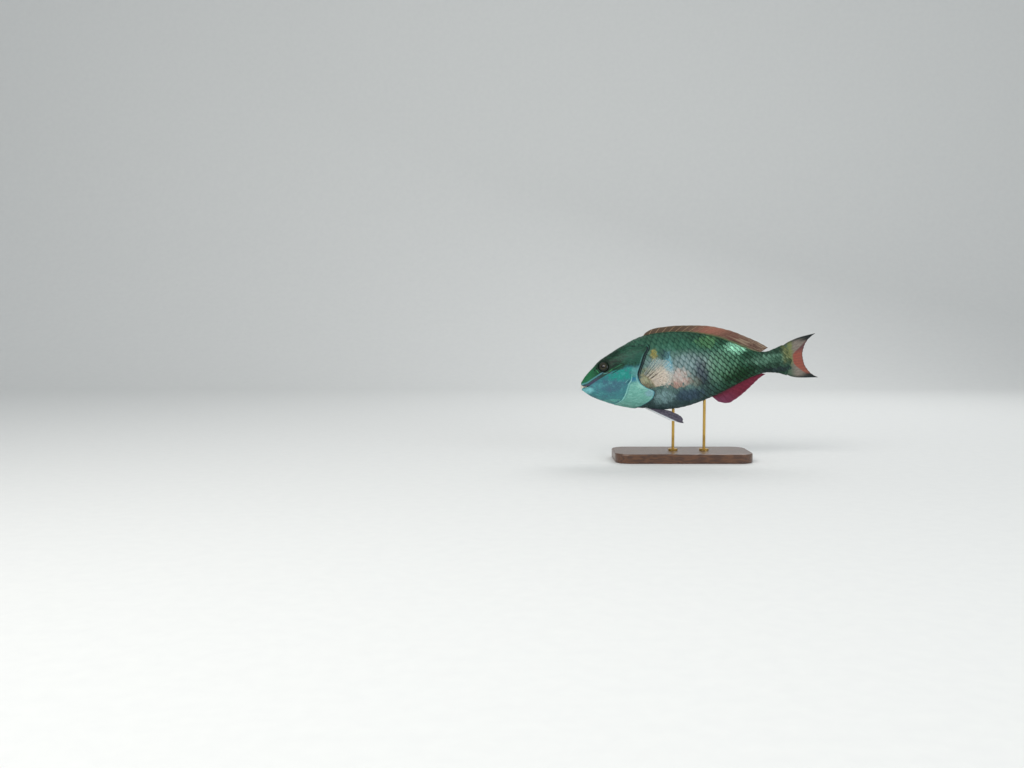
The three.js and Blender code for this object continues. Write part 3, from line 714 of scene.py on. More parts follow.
# %% Set the eyes
def eye_frame(side):
    """An eye's middle on the body, and its directions outward, ahead and above."""
    spot = flank_spot(EYE_X, EYE_Z, side)
    ahead = flank_spot(EYE_X + 0.5, EYE_Z, side) - spot
    above = flank_spot(EYE_X, EYE_Z + 0.5, side) - spot
    outward = np.cross(above, ahead) * side
    outward /= np.linalg.norm(outward)
    ahead /= np.linalg.norm(ahead)
    return spot, outward, ahead, np.cross(outward, ahead) * -side


RINGS, AROUND = 28, 56
lean = np.linspace(0.001, 1, RINGS) * math.radians(100)
spin = np.linspace(0, 2 * np.pi, AROUND, endpoint=False)
eye_map = grid_map(0.02 + 0.96 * np.arange(AROUND + 1) / AROUND, 0.02 + 0.96 * np.linspace(0, 1, RINGS))
for label, side in (("left", LEFT), ("right", RIGHT)):
    spot, outward, ahead, above = eye_frame(side)
    out = (np.cos(lean) * (EYE_BULGE - 0.1) - EYE_SUNK)[:, None, None] * outward
    reach = np.sin(lean) * (EYE_RADIUS - 0.1)
    disc = reach[:, None, None] * (np.cos(spin)[None, :, None] * ahead + np.sin(spin)[None, :, None] * above)
    points = (spot + out + disc).reshape(-1, 3)
    faces = grid_faces(RINGS, AROUND, closed=True)[:, ::-side]
    eye = build(f"eyeball_{label}", points, faces, eye_map[:, ::-side],
                from_pupil=np.repeat(np.sin(lean), AROUND), place=points / 100)
    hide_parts(f"eye_{label}")

# %% [markdown]
# Looks as expressions
# A finish is a small sum: mostly this colour, a darker rim there, a little noise. Written as Python
# expressions it stays readable. A Signal wraps one socket, and adding or multiplying signals adds the Math
# nodes for us. A Finish holds the nodes of one material and makes everything that isn't arithmetic. Its
# colour is a ground with coats of paint over it, each laid on only where its share says.

# %% Signals
class Signal:
    """One value inside a finish; arithmetic on it adds Math nodes."""

    def __init__(self, finish, socket):
        self.finish, self.socket = finish, socket

    def math(self, operation, *values):
        return self.finish.node("ShaderNodeMath", {"operation": operation}, dict(enumerate(values)))

    def __add__(self, other):
        return self.math("ADD", self, other)

    def __sub__(self, other):
        return self.math("SUBTRACT", self, other)

    def __rsub__(self, other):
        return self.math("SUBTRACT", other, self)

    def __mul__(self, other):
        return self.math("MULTIPLY", self, other)

    def __truediv__(self, other):
        return self.math("DIVIDE", self, other)

    def __pow__(self, other):
        return self.math("POWER", self, other)

    __radd__, __rmul__ = __add__, __mul__

    def wave(self):
        return self.math("SINE", self)

    def size(self):
        return self.math("ABSOLUTE", self)

    def at_most(self, other):
        return self.math("MINIMUM", self, other)

    def above(self, low, high):
        """0 below low, 1 above high, softly; with low over high it falls instead."""
        if low > high:
            return 1 - self.above(high, low)
        settings = {"interpolation_type": "SMOOTHSTEP", "clamp": True}
        return self.finish.node("ShaderNodeMapRange", settings, {0: self, 1: low, 2: high, 3: 0, 4: 1})

    def near(self, middle, reach):
        """1 at middle, falling softly to 0 at reach from it."""
        return (self - middle).size().above(reach, 0)


def light(colour):
    """A colour as on a screen, 0 to 255, turned into the light that shaders use; a signal stays as it is."""
    if isinstance(colour, Signal):
        return colour
    shares = [value / 255 for value in colour]
    return tuple(s / 12.92 if s <= 0.04045 else ((s + 0.055) / 1.055) ** 2.4 for s in shares) + (1.0,)


# %% Finishes
class Finish:
    """One material under construction."""

    def __init__(self, name):
        self.material = bpy.data.materials.new(name)
        self.material.use_nodes = True
        self.nodes = self.material.node_tree.nodes
        self.links = self.material.node_tree.links
        self.shader = self.nodes["Principled BSDF"]

    def node(self, kind, settings=None, values=None, result=0):
        """Any node: its settings first, then the values or links of its sockets."""
        made = self.nodes.new(kind)
        for key, value in (settings or {}).items():
            setattr(made, key, value)
        for key, value in (values or {}).items():
            self.feed(made.inputs[key], value)
        return Signal(self, made.outputs[result])

    def feed(self, socket, value):
        if isinstance(value, Signal):
            self.links.new(value.socket, socket)
        else:
            socket.default_value = value

    def set(self, **values):
        for key, value in values.items():
            self.feed(self.shader.inputs[key.replace("_", " ")], value)
        return self

    def on(self, *pieces):
        for piece in pieces:
            piece.data.materials.clear()
            piece.data.materials.append(self.material)

    def number(self, name):
        return self.node("ShaderNodeAttribute", {"attribute_name": name}, result="Fac")

    def vector(self, name):
        return self.node("ShaderNodeAttribute", {"attribute_name": name}, result="Vector")

    def here(self):
        """Places in the piece's own frame, in metres."""
        return self.node("ShaderNodeTexCoord", result="Object")

    def parts(self, vector):
        split = self.node("ShaderNodeSeparateXYZ", values={0: vector}).socket.node
        return [Signal(self, socket) for socket in split.outputs]

    def join(self, x, y, z=0.0):
        return self.node("ShaderNodeCombineXYZ", values={0: x, 1: y, 2: z})

    def stretch(self, where, x, y, z):
        return self.node("ShaderNodeVectorMath", {"operation": "MULTIPLY"}, {0: where, 1: (x, y, z)})

    def between(self, share, first, second):
        return self.node("ShaderNodeMix", {"data_type": "VECTOR"}, {0: share, 4: first, 5: second}, 1)

    def noise(self, where, scale, detail=3.0, roughness=0.6):
        sockets = {"Vector": where, "Scale": scale, "Detail": detail, "Roughness": roughness}
        return self.node("ShaderNodeTexNoise", values=sockets, result="Fac")

    def bump(self, height, distance):
        return self.node("ShaderNodeBump", values={"Distance": distance, "Height": height}, result="Normal")

    def blend(self, share, first, second, way="MIX"):
        """The first colour where share is 0 and the second where it is 1."""
        settings = {"data_type": "RGBA", "blend_type": way}
        return self.node("ShaderNodeMix", settings, {0: share, 6: light(first), 7: light(second)}, 2)

    def coats(self, ground, *coats):
        """A ground colour with coats over it, each a share and a colour."""
        for share, colour in coats:
            ground = self.blend(share, ground, colour)
        return ground

    def shaded(self, tone, strength, spared, dark):
        """A tone multiplied by dark, except where spared is 1."""
        return self.blend(strength, tone, self.blend(spared, dark, (255, 255, 255)), "MULTIPLY")


# %% [markdown]
# The fish's colours
# The pattern is that of a grown male: a dark green crown, a teal cheek under a mauve band, a pale line on
# the cheek bone, silver-blue flanks that turn green towards the back and tail, and a slate belly. Painted
# light and shade lie over it: a black painted shadow along the gill edge, and painted highlights on the gill
# cover and the upper flank. Skin and scales share one function for all of it, so that no seam shows where
# the scales thin out. Places are in decimetres there, and the tables of patches in millimetres.

# %% Patches of colour
def patch(x, z, middle, reach, ragged):
    """1 in the middle of an oval and 0 outside it, with a ragged edge."""
    across, up = (x - middle[0] / 100) * (100 / reach[0]), (z - middle[1] / 100) * (100 / reach[1])
    return ((across * across + up * up) ** 0.5 + ragged).above(1.1, 0.5)


def patches(table, x, z, ragged):
    """Coats for a table of patches: middle and reach as x and z, strength, colour."""
    return [(patch(x, z, middle, reach, ragged) * strength, tone) for middle, reach, strength, tone in table]


# %% Flank colours
CROWN, SADDLE, SILVER, SLATE = (42, 84, 68), (54, 106, 88), (108, 136, 134), (74, 98, 100)
PINE, STALK, OLIVE = (54, 102, 78), (58, 90, 74), (146, 148, 98)
FLANK_PATCHES = [
    ((178, 13), (30, 19), 0.45, (122, 150, 156)), ((145, 16), (9, 25), 0.9, (124, 184, 202)),
    ((202, -5), (17, 26), 0.92, (58, 68, 82)), ((227, 0), (24, 30), 0.6, (112, 152, 128)),
    # Painted highlights: the green patch at (216, 45) is a painted glint, and the bright mint patch at (266,
    # 30) is partly the fish's green and partly painted sheen.
    ((262, -15), (38, 17), 0.95, (22, 62, 32)), ((266, 30), (28, 12), 1.0, (178, 250, 214)),
    ((216, 45), (22, 13), 0.55, (112, 164, 106)), ((175, -39), (27, 13), 0.8, (66, 86, 108)),
    ((132, -38), (21, 14), 0.8, (140, 172, 176)), ((110, -2), (15, 18), 0.85, (182, 172, 138)),
    ((113, -15), (15, 6.5), 0.75, (150, 136, 112)), ((124, 21), (19, 11), 0.7, (138, 160, 164)),
    ((160, -8), (22, 17), 0.9, (222, 196, 188)), ((133, -3), (22, 17), 1.0, (240, 220, 206)),
    ((157, -20), (12, 7), 0.6, (222, 160, 146)), ((176, -16), (11, 8), 0.5, (204, 156, 142)),
    ((188, -18), (12, 10), 0.6, (130, 128, 116)), ((141, 33), (9, 11), 0.7, (52, 78, 86)),
    ((316, 3), (42, 9), 0.85, (106, 148, 126)), ((330, -17), (34, 5), 0.8, (44, 56, 62)),
]


def flank_colour(finish, where, height):
    """The flanks' colour at a place and at its share of the body's depth."""
    x, _, z = finish.parts(where)
    drift = finish.noise(where, 5.0, 4.0) - 0.5
    fine = finish.noise(where, 19.0) - 0.5
    level = height + 0.16 * drift + 0.2 * fine
    root = (x + 0.08 * fine).above(3.36, 3.48) * (height + 0.3 * fine).above(0.3, 0.62)
    return finish.coats(
        finish.blend(level.above(0.14, 0.34), SLATE, SILVER),
        (level.above(0.6, 0.84), SADDLE),
        (level.above(0.78, 0.97), CROWN),
        ((x + 0.3 * drift + 0.3 * (0.5 - height)).above(2.0, 2.6), PINE),
        ((x + 0.1 * drift).above(2.75, 3.1), STALK),
        *patches(FLANK_PATCHES, x, z, 1.5 * fine),
        (root * 0.85, OLIVE))


def with_shoulder_spot(finish, where, colour):
    """A colour with the yellow spot behind the upper corner of the gill cover."""
    x, _, z = finish.parts(where)
    grain = finish.noise(where, 40.0) - 0.5
    strokes = finish.noise(finish.stretch(where, 4, 1, 1), 34.0, 2.0, 0.5) - 0.5
    spot = patch(x, z, (124.5, 34.5), (7.5, 11), 1.6 * grain + 1.6 * strokes)
    yellow = finish.blend((strokes + 0.5).above(0.38, 0.6), (104, 112, 56), (202, 166, 62))
    return finish.blend(spot * 0.56, colour, yellow)


# %% Cheek and gill cover
CHEEK_PATCHES = [
    ((51, -9), (24, 15), 0.6, (70, 104, 124)), ((68, 9), (33, 13), 0.9, (36, 146, 134)),
    ((20, -9), (20, 9), 0.5, (84, 152, 160)), ((9, -13), (12, 7), 0.9, (126, 200, 204)),
    ((93, 10), (11, 12), 0.7, (100, 152, 152)), ((86.5, -2.5), (6.5, 4.5), 0.9, (8, 114, 156)),
    # The whitish patch at (96, -9) is a painted highlight beside the blue spot.
    ((96, -9), (5, 3), 0.6, (172, 210, 208)), ((44, -35), (20, 4), 0.7, (112, 190, 176)),
]
# The pale first cover patch, at (97, -14), is a painted highlight on the cover's upper edge.
COVER_PATCHES = [((97, -14), (9, 6), 0.6, (160, 216, 200)), ((111, -28), (11, 7), 0.6, (138, 174, 194))]


def cheek_colour(finish, x, z, drift, fine, grain, blotch):
    """The teal cheek, the paler gill cover behind it and the bone line between the two."""
    behind = finish.number("behind_cheek")
    bone = (behind + 2 * fine).near(-0.4, 1.7) * z.above(0.1, -0.02)
    cover = finish.coats(
        finish.blend(grain.above(0.3, 0.7), (106, 172, 158), (134, 194, 182)),
        *patches(COVER_PATCHES, x, z, 0.8 * fine + 0.8 * drift))
    return finish.coats(
        finish.blend((z + 0.3 * drift).above(-0.45, 0.1), (78, 142, 146), (58, 120, 130)),
        *patches(CHEEK_PATCHES, x, z, 0.5 * fine + 0.5 * drift),
        (blotch.above(0.5, 0.7) * 0.5, (82, 100, 126)),
        (blotch.above(0.48, 0.3) * 0.4, (96, 172, 170)),
        (behind.above(-1, 4) * (z + 0.1 * drift).above(0.02, -0.14), cover),
        (bone * (0.6 + 0.3 * z.above(-0.1, -0.3)), (150, 216, 204)))


# %% Crown and nostrils
def crown_colour(finish, x, z, drift, fine, grain):
    """The dark crown: green on the snout, black round the eye, like the scales on the nape, with painted
    shade in the nostrils.
    """
    streaky = grain.above(0.35, 0.7)
    nape = x.above(0.6, 0.9) * (z - 0.36 * x + 0.3 * fine + 0.3 * drift).above(-0.02, 0.14)
    snout = (x + 0.1 * drift).above(0.36, 0.14) * finish.number("over_band").above(1, 4)
    # Painted shade: each nostril's pit is painted near black.
    nostril_shade = [((ahead, up), (1.3 * size, 1.1 * size), 0.9, (8, 16, 14)) for ahead, up, size in NOSTRILS]
    return finish.coats(
        finish.blend(streaky, (12, 38, 28), (34, 78, 58)),
        (patch(x, z, (92, 34), (24, 14), 2 * fine) * 0.6, (44, 96, 82)),
        (nape * 0.8, finish.blend(streaky, (34, 76, 60), (50, 100, 80))),
        (snout, (36, 108, 70)),
        (patch(x, z, (42, 26), (16, 14), fine) * 0.8, (26, 44, 32)),
        *patches(nostril_shade, x, z, 0.0))


# %% Lines and bands of the head
# Streaks: start and end as x and z, half width in millimetres, strength, colour
HEAD_STREAKS = [
    ((46, 14.5), (55, 19.4), 1.1, 0.9, (48, 136, 80)), ((55, 19.2), (72, 26), 0.9, 0.7, (52, 122, 86)),
    ((51, 21.5), (63, 28.6), 1.0, 0.9, (12, 32, 28)), ((51, 11), (66, 17.6), 1.0, 0.9, (14, 40, 38)),
    ((27, 20.8), (31, 14), 0.9, 0.8, (64, 150, 96)), ((74, -8.6), (81, -1.9), 0.8, 0.9, (22, 56, 72)),
    ((76, -10), (83, -3.4), 0.5, 0.8, (178, 222, 218)),
    ((71.5, -6.6), (77.5, -1.2), 0.5, 0.7, (150, 208, 206)),
    ((37, 12.4), (46, 13.6), 1.0, 0.85, (104, 170, 160)), ((44, 12), (50.5, 14.6), 1.4, 0.8, (70, 66, 62)),
]


def streak(x, z, start, end, half_wide, ragged):
    """1 along a short straight line and 0 beside it."""
    length = math.dist(start, end)
    run, climb = (end[0] - start[0]) / length, (end[1] - start[1]) / length
    ahead, up = 100 * x - start[0], 100 * z - start[1]
    along, off = ahead * run + up * climb, up * run - ahead * climb
    width = (off + ragged).size().above(half_wide, 0)
    return (width * along.near(length / 2, length * 0.65) * 1.8).at_most(1)


def head_colour(finish, where, flank):
    """The head's colour over the flank's, ahead of the gill edge."""
    x, _, z = finish.parts(where)
    drift = finish.noise(where, 7.0, 4.0) - 0.5
    fine = finish.noise(where, 30.0) - 0.5
    grain = finish.noise(finish.stretch(where, 1, 1, 3.2), 14.0)
    blotch = finish.noise(where, 13.0)
    over_cheek, over_band = finish.number("over_cheek"), finish.number("over_band")
    edge, low = finish.number("behind_gill"), z.above(0.1, -0.06)
    cheek = cheek_colour(finish, x, z, drift, fine, grain, blotch)
    crown = crown_colour(finish, x, z, drift, fine, grain)
    far = x.above(0.6, 0.85)
    over_top = (over_cheek + (4 + 12 * far) * drift) / (1 + 2.2 * far)
    lip_line = x.above(0.42, 0.34) * (over_band - 4.6 + 2 * fine).size().above(1.8, 0.4)
    mauve = finish.blend(x.above(0.22, 0.36), (68, 72, 92), (46, 72, 66))
    band = (x + 0.05 * drift).above(0.56, 0.44) * (over_band + 1.4 * fine).size().above(3.2, 1.9)
    blotchy = 0.2 + 0.7 * blotch.above(0.4, 0.6)
    # Painted highlights: a pale broken line along the lower gill cover's edge, and a glint beside the edge
    # higher up.
    pale = low * (edge + 2 * fine).near(-4.6, 1.7) * blotchy * z.above(-0.55, -0.2)
    past_line = edge - (-1.2 - 2.0 * z.above(-0.1, 0.12))
    glint = (past_line + 1.6).near(0, 1.0) * z.above(-0.04, 0.1) * z.above(0.46, 0.3)
    return finish.coats(
        finish.blend(over_top.above(-1.5, 1.5), cheek, crown),
        (lip_line * 0.8, (92, 150, 164)),
        (band, mauve),
        *[(streak(x, z, start, end, half_wide, 0.8 * fine) * strength, tone)
          for start, end, half_wide, strength, tone in HEAD_STREAKS],
        (low * edge.near(-1.6, 2.4) * 0.6, (62, 140, 158)),
        (pale, (164, 214, 214)),
        (glint * 0.5, (110, 168, 170)),
        # Painted shadow: a black band at the upper gill edge stands in for the shade in the gap under the
        # cover.
        (z.above(0.56, 0.48) * past_line.above(-0.4, 0.5), (20, 34, 40)),
        (finish.number("from_eye").near(10.6, 1.5) * 0.5, (30, 44, 38)),
        ((edge + 6 * z.above(0.46, 0.56) * (1 + 2 * drift)).above(-0.5, 0.4), flank))


# %% Skin finish
hide = Finish("fish skin")
where = hide.vector("place")
flank = with_shoulder_spot(hide, where, flank_colour(hide, where, hide.number("height")))
tone = head_colour(hide, where, flank)
pores = hide.noise(where, 160.0, 4.0)
ripples = hide.noise(hide.stretch(where, 1, 1, 2.2), 34.0, 4.0)
tone = hide.shaded(tone, 0.5, ripples.above(0.3, 0.7), (190, 190, 190))
inside_lip = hide.number("from_lip").above(0.0, -0.015)
hide.set(
    Base_Color=hide.blend(inside_lip, tone, (70, 44, 44)),
    Roughness=0.42 + 0.2 * ripples,
    Coat_Weight=0.12 * hide.noise(where, 9.0, 3.0, 0.5), Coat_Roughness=0.2,
    Specular_IOR_Level=0.14,
    Normal=hide.bump(0.6 * ripples + 0.4 * pores, 0.0005),
).on(skin)

# %% Scale finish
plates = Finish("fish scales")
where, middle = plates.vector("place"), plates.vector("centre")
rim, height = plates.number("rim"), plates.number("height")
lengthways, sideways, number = plates.parts(plates.vector("scale_spot"))
x, _, z = plates.parts(where)
past_breast = x.above(1.6, 2.3)
tone = flank_colour(plates, plates.between(0.15 + 0.3 * past_breast, where, middle), height)
mottle = plates.noise(middle, 31.0, 2.0, 0.5)
tone = plates.shaded(tone, 0.5 + 0.35 * past_breast, mottle.above(0.3, 0.7), (140, 160, 150))
strokes = plates.noise(plates.join(4.5 * (x + 0.35 * z), 0.0, z), 16.0)
tone = plates.shaded(tone, 0.75, strokes.above(0.3, 0.62), (150, 164, 160))

# %% The pale heart of each scale, its dark border, and the painted shadow behind the gill cover
shine = plates.noise(plates.stretch(where, 1, 1, 3), 40.0, 4.0)
heart = lengthways.near(0.55, 0.45) * (1 - sideways.size().above(0.35, 0.9))
silvery, dull = patch(x, z, (178, 6), (46, 32), 0.0), patch(x, z, (202, -5), (16, 25), 0.0)
lively = patch(x, z, (236, 6), (38, 30), 0.0) * (0.5 + number)
strength = (0.12 + 0.14 * silvery + 0.36 * lively) * height.above(0.1, 0.36) * (1 - 0.6 * dull)
heart = heart * (strength - 0.1 * x.above(2.2, 2.9)) * (0.6 + 0.8 * shine)
tone = plates.blend(heart, tone, plates.blend(silvery, (110, 160, 128), (190, 206, 206)))
tone = with_shoulder_spot(plates, where, tone)
# Painted shadow: the scales just behind the gill cover's upper edge are darkened where the cover shades
# them.
painted_gill_shadow = plates.number("behind_gill").above(3.6, 1.8) * z.above(-0.05, 0.1) * z.above(0.56, 0.48)
tone = plates.blend(painted_gill_shadow * 0.9, tone, (16, 30, 32))
border = rim.above(0.34, 0.06) * (0.2 + 0.8 * sideways.above(-0.5, 0.3))
plainness = 0.18 + 0.8 * x.above(1.7, 2.25) - 0.45 * x.above(2.8, 3.2)
rings = ((lengthways * lengthways + sideways * sideways * 1.6) ** 0.5 * 64 + number * 6).wave()
grooves = (sideways / (lengthways + 1.7) * 60).wave()
plates.set(
    Base_Color=plates.blend(border * plainness, tone, (66, 84, 76), "MULTIPLY"),
    Roughness=0.4 + 0.2 * shine,
    Coat_Weight=0.1 * shine, Coat_Roughness=0.2,
    Specular_IOR_Level=0.12,
    Normal=plates.bump(0.12 * rings + 0.1 * grooves + 0.8 * shine, 0.0001),
).on(scales_left, scales_right)

# %% [markdown]
# Fins in colour
# The back fin is a rusty orange, the belly fin crimson, the tail grey with an orange crescent and dark
# lobes, the breast fins almost clear, the pelvic fins mauve. Each finish reads how far out along the ray a
# point is and how high the ray stands there, because a ray is darker or paler than the web between two, and
# because the back and breast fins have painted shadows beside their rays.


# %% Fin finishes
def fin_finish(name, colour_of, *pieces, clear=0.0):
    finish = Finish(name)
    where = finish.vector("place")
    ridge, along, across = finish.number("ridge"), finish.number("along"), finish.number("across")
    mottle = finish.noise(where, 26.0, 4.0)
    joints = (along * 150 + 12 * mottle).wave() * ridge
    finish.set(
        Base_Color=colour_of(finish, where, along, across, ridge, mottle),
        Roughness=0.36 + 0.2 * mottle,
        Normal=finish.bump(0.5 * mottle + 0.1 * joints, 0.00025),
        Specular_IOR_Level=0.15,
    ).on(*(PIECES[piece] for piece in pieces))
    if clear:
        solid = 0.45 * ridge.above(0.3, 0.9) * (1 - 0.6 * along) + 0.6 * along.above(0.55, 0.02)
        finish.set(Alpha=(1 - clear + solid).at_most(1))


def grain_along_rays(finish, along, across, count):
    return finish.noise(finish.join(across * count, along * 4), 3.0)


# %% The rusty back fin
def rusty(finish, where, along, across, ridge, mottle):
    """Dark with pale spines in front, salmon in the middle, then maroon with painted light and shade of
    folds, and painted shadows beside the rays.
    """
    grain = grain_along_rays(finish, along, across, 24)
    spines, rear = across.above(0.55, 0.36), across.above(0.6, 0.76)
    folds = finish.noise(finish.join(across * 2.4, along * 3.6), 3.0, 2.0, 0.5)
    return finish.coats(
        finish.blend(grain.above(0.35, 0.65), (88, 68, 58), (118, 94, 80)),
        (across.near(0.52, 0.17) * (0.3 + 0.6 * grain), (166, 104, 88)),
        (across.near(0.7, 0.13) * 0.6, (104, 60, 54)),
        (across.above(0.42, 0.25) * 0.8, (84, 70, 56)),
        # Painted shadow: a thin dark line on each side of a ray.
        (ridge.above(0.05, 0.3) * ridge.above(0.7, 0.4) * (0.2 + 0.45 * spines), (62, 42, 36)),
        (ridge.above(0.45, 0.9) * (0.1 + 0.8 * spines), (172, 144, 114)),
        # Painted light and shade of folds: pale and dark streaks on the fin's rear.
        (folds.above(0.5, 0.58) * rear * 0.8, (146, 128, 108)),
        (folds.above(0.47, 0.38) * rear * 0.8, (72, 50, 44)),
        ((along + 0.2 * (mottle - 0.5)).above(0.36, 0.14) * 0.9, (80, 104, 70)),
        (along.above(0.93, 1.0) * 0.6, (142, 132, 118)))


# %% The crimson belly fin
def crimson(finish, where, along, across, ridge, mottle):
    grain = grain_along_rays(finish, along, across, 16)
    return finish.coats(
        finish.blend((0.5 * mottle + 0.5 * grain).above(0.35, 0.65), (94, 26, 44), (120, 42, 60)),
        (across.above(0.42, 0.05) * along.above(0.1, 0.6) * 0.7, (114, 64, 90)),
        (ridge.above(0.3, 0.9) * 0.45, (78, 22, 40)),
        (along.above(0.26, 0.08) * 0.8, (62, 58, 58)),
        (along.above(0.93, 1.0) * 0.5, (158, 112, 134)))


# %% The tail fin's crescent and lobes
def sunset(finish, where, along, across, ridge, mottle):
    """Grey webs, an orange crescent near the rear edge, and dark upper and lower lobes."""
    x, _, z = finish.parts(where)
    grain = grain_along_rays(finish, along, across, 26)
    level = (across - 0.5).size() * 2
    from_edge = (1 - along) * (36 + 24 * level ** 2.5) + 2.5 * (mottle - 0.5)
    bar = (x + 0.12 * (mottle - 0.5) + 0.06 * (grain - 0.5)).near(3.56, 0.075)
    crescent_start = 16.5 - 13 * (across - 0.5).above(0.1, 0.36) - 8 * (0.5 - across).above(0.1, 0.42)
    upper_lobe = (across + 0.1 * (mottle - 0.5)).above(0.6, 0.76)
    crescent = finish.coats(
        finish.blend(upper_lobe, (144, 78, 66), (88, 62, 66)),
        (across.above(0.4, 0.15) * 0.6, (138, 84, 70)),
        (grain.above(0.5, 0.75) * 0.5, (168, 112, 96)))
    return finish.coats(
        finish.blend(grain.above(0.35, 0.65), (112, 106, 98), (138, 130, 120)),
        (x.above(3.66, 3.5), (72, 96, 78)),
        (bar * (z + 0.2 * (mottle - 0.5)).above(-0.18, -0.02) * 0.85, (120, 128, 76)),
        ((from_edge - crescent_start).above(1.5, -1.5), crescent),
        (ridge.above(0.3, 0.9) * 0.35, (98, 74, 66)),
        (level.above(0.84, 0.96) * (0.5 + 0.5 * along.above(0.2, 0.7)), (34, 42, 42)),
        (along.above(0.5, 0.9) * level.above(0.7, 0.86), (34, 40, 40)),
        (from_edge.above(1.8, 0.6) * 0.7, (70, 60, 54)))


# %% The clear breast fins and the mauve pelvic fins
def clear_web(finish, where, along, across, ridge, mottle):
    """A pale see-through web, blue at its far end, with painted shade and highlights of crease lines near
    the root, and painted shadows beside the rays there.
    """
    crease_light_and_shade = (across * 38).wave()
    creased = (1.8 * across.near(0.34, 0.36) * along.near(0.28, 0.32)).at_most(1)
    return finish.coats(
        finish.blend(mottle.above(0.3, 0.7), (226, 208, 192), (244, 232, 222)),
        ((across + 0.3 * mottle).above(0.55, 0.2), (150, 168, 170)),
        (along.above(0.6, 0.95) * 0.8, (140, 172, 182)),
        (across.near(0.55, 0.24) * along.above(0.7, 0.88) * 0.9, (112, 186, 214)),
        # Painted shadow beside each ray near the root.
        (ridge.near(0.35, 0.3) * along.above(0.6, 0.35) * 0.8, (74, 66, 52)),
        (ridge.above(0.55, 0.95) * 0.85, (226, 216, 188)),
        # Painted shade and highlight of crease lines: alternating dark and pale stripes near the root.
        (creased * crease_light_and_shade.above(-0.1, -0.7) * 0.85, (60, 58, 44)),
        (creased * crease_light_and_shade.above(0.3, 0.8) * 0.8, (240, 236, 218)),
        (along.above(0.22, 0.02), (156, 146, 108)))


def mauve_web(finish, where, along, across, ridge, mottle):
    return finish.coats(
        finish.blend(mottle.above(0.3, 0.7), (70, 68, 80), (104, 100, 112)),
        (ridge.above(0.3, 0.9) * 0.6, (62, 56, 70)),
        (across.above(0.2, 0.06), (214, 220, 222)))


fin_finish("back fin", rusty, "fin_back")
fin_finish("belly fin", crimson, "fin_anal")
fin_finish("tail fin", sunset, "fin_tail")
fin_finish("breast fin", clear_web, "fin_breast_left", "fin_breast_right", clear=0.8)
fin_finish("pelvic fin", mauve_web, "fin_pelvic_left", "fin_pelvic_right")

# %% Eye and beak finishes
eye = Finish("eye")
out = eye.number("from_pupil")
fibres = eye.noise(eye.vector("place"), 90.0, 4.0, 0.7)
iris = eye.blend((out + 0.1 * (fibres - 0.5)).above(0.5, 0.8), (50, 50, 34), (24, 32, 26))
iris = eye.shaded(iris, 0.6, fibres.above(0.3, 0.7), (110, 90, 80))
tone = eye.coats(iris, (out.near(0.46, 0.05) * 0.5, (92, 82, 52)), (out.above(0.43, 0.4), (6, 8, 9)))
eye.set(Base_Color=tone, Roughness=0.3 + 0.1 * fibres, Coat_Weight=0.45, Coat_Roughness=0.03,
        Specular_IOR_Level=0.1, Normal=eye.bump(fibres, 0.00008))
eye.on(PIECES["eyeball_left"], PIECES["eyeball_right"])

beak = Finish("beak")
where = beak.here()
grain = beak.noise(beak.stretch(where, 1, 1, 0.3), 900.0, 4.0)
stain = beak.noise(where, 260.0, 3.0, 0.5)
tone = beak.blend(stain.above(0.45, 0.75), (232, 232, 218), (186, 190, 160))
beak.set(Base_Color=tone, Roughness=0.22 + 0.2 * grain, Coat_Weight=0.4, Coat_Roughness=0.1,
         Normal=beak.bump(grain, 0.0002))
beak.on(frame["nodes"]["beak_upper"], frame["nodes"]["beak_lower"])

# %% [markdown]
# The stand
# A turned brass rod and a varnished hardwood base are what a museum uses. Their solids already have the
# right shape, so only their finishes are made: grain that runs along the board, and fine turning marks and
# tarnish on the brass.

# %% Wood and brass
wood = Finish("varnished wood")
where = wood.here()
drift = wood.noise(wood.stretch(where, 3, 14, 14), 3.0, 4.0)
_, y, z = wood.parts(where)
growth = ((y * 190 + z * 60 + drift * 9) * 6.28).wave()
fibre = wood.noise(wood.stretch(where, 8, 260, 260), 5.0, 4.0, 0.7)
tone = wood.blend((growth * 0.5 + 0.5) * 0.6 + 0.3 * fibre, (66, 40, 26), (112, 72, 44))
tone = wood.shaded(tone, 0.5, fibre.above(0.3, 0.6), (120, 104, 92))
wood.set(Base_Color=tone, Roughness=0.3 + 0.2 * fibre, Coat_Weight=0.35, Coat_Roughness=0.15,
         Normal=wood.bump(0.6 * fibre + 0.15 * growth, 0.0003)).on(frame["nodes"]["stand_base"])

brass = Finish("turned brass")
where = brass.here()
turning = brass.noise(brass.stretch(where, 1, 1, 60), 40.0)
tarnish = brass.noise(where, 70.0, 4.0)
tone = brass.blend(tarnish.above(0.45, 0.8), (206, 168, 92), (150, 112, 58))
brass.set(Base_Color=tone, Metallic=1.0, Roughness=0.2 + 0.16 * tarnish + 0.08 * turning,
          Normal=brass.bump(turning, 0.0001))
brass.on(frame["nodes"]["stand_rod_front"], frame["nodes"]["stand_rod_rear"])

# %% [markdown]
# Floor, light and camera
# A pale sweep stands in for a photographer's paper roll, so that the floor runs into the back wall with no
# line. Big soft lights, the strongest from the upper left in front, shape the scales without hard glints.
# The camera looks at the fish from its left side, a little from above, and keeps the fish where the picture
# has it, right of the middle.

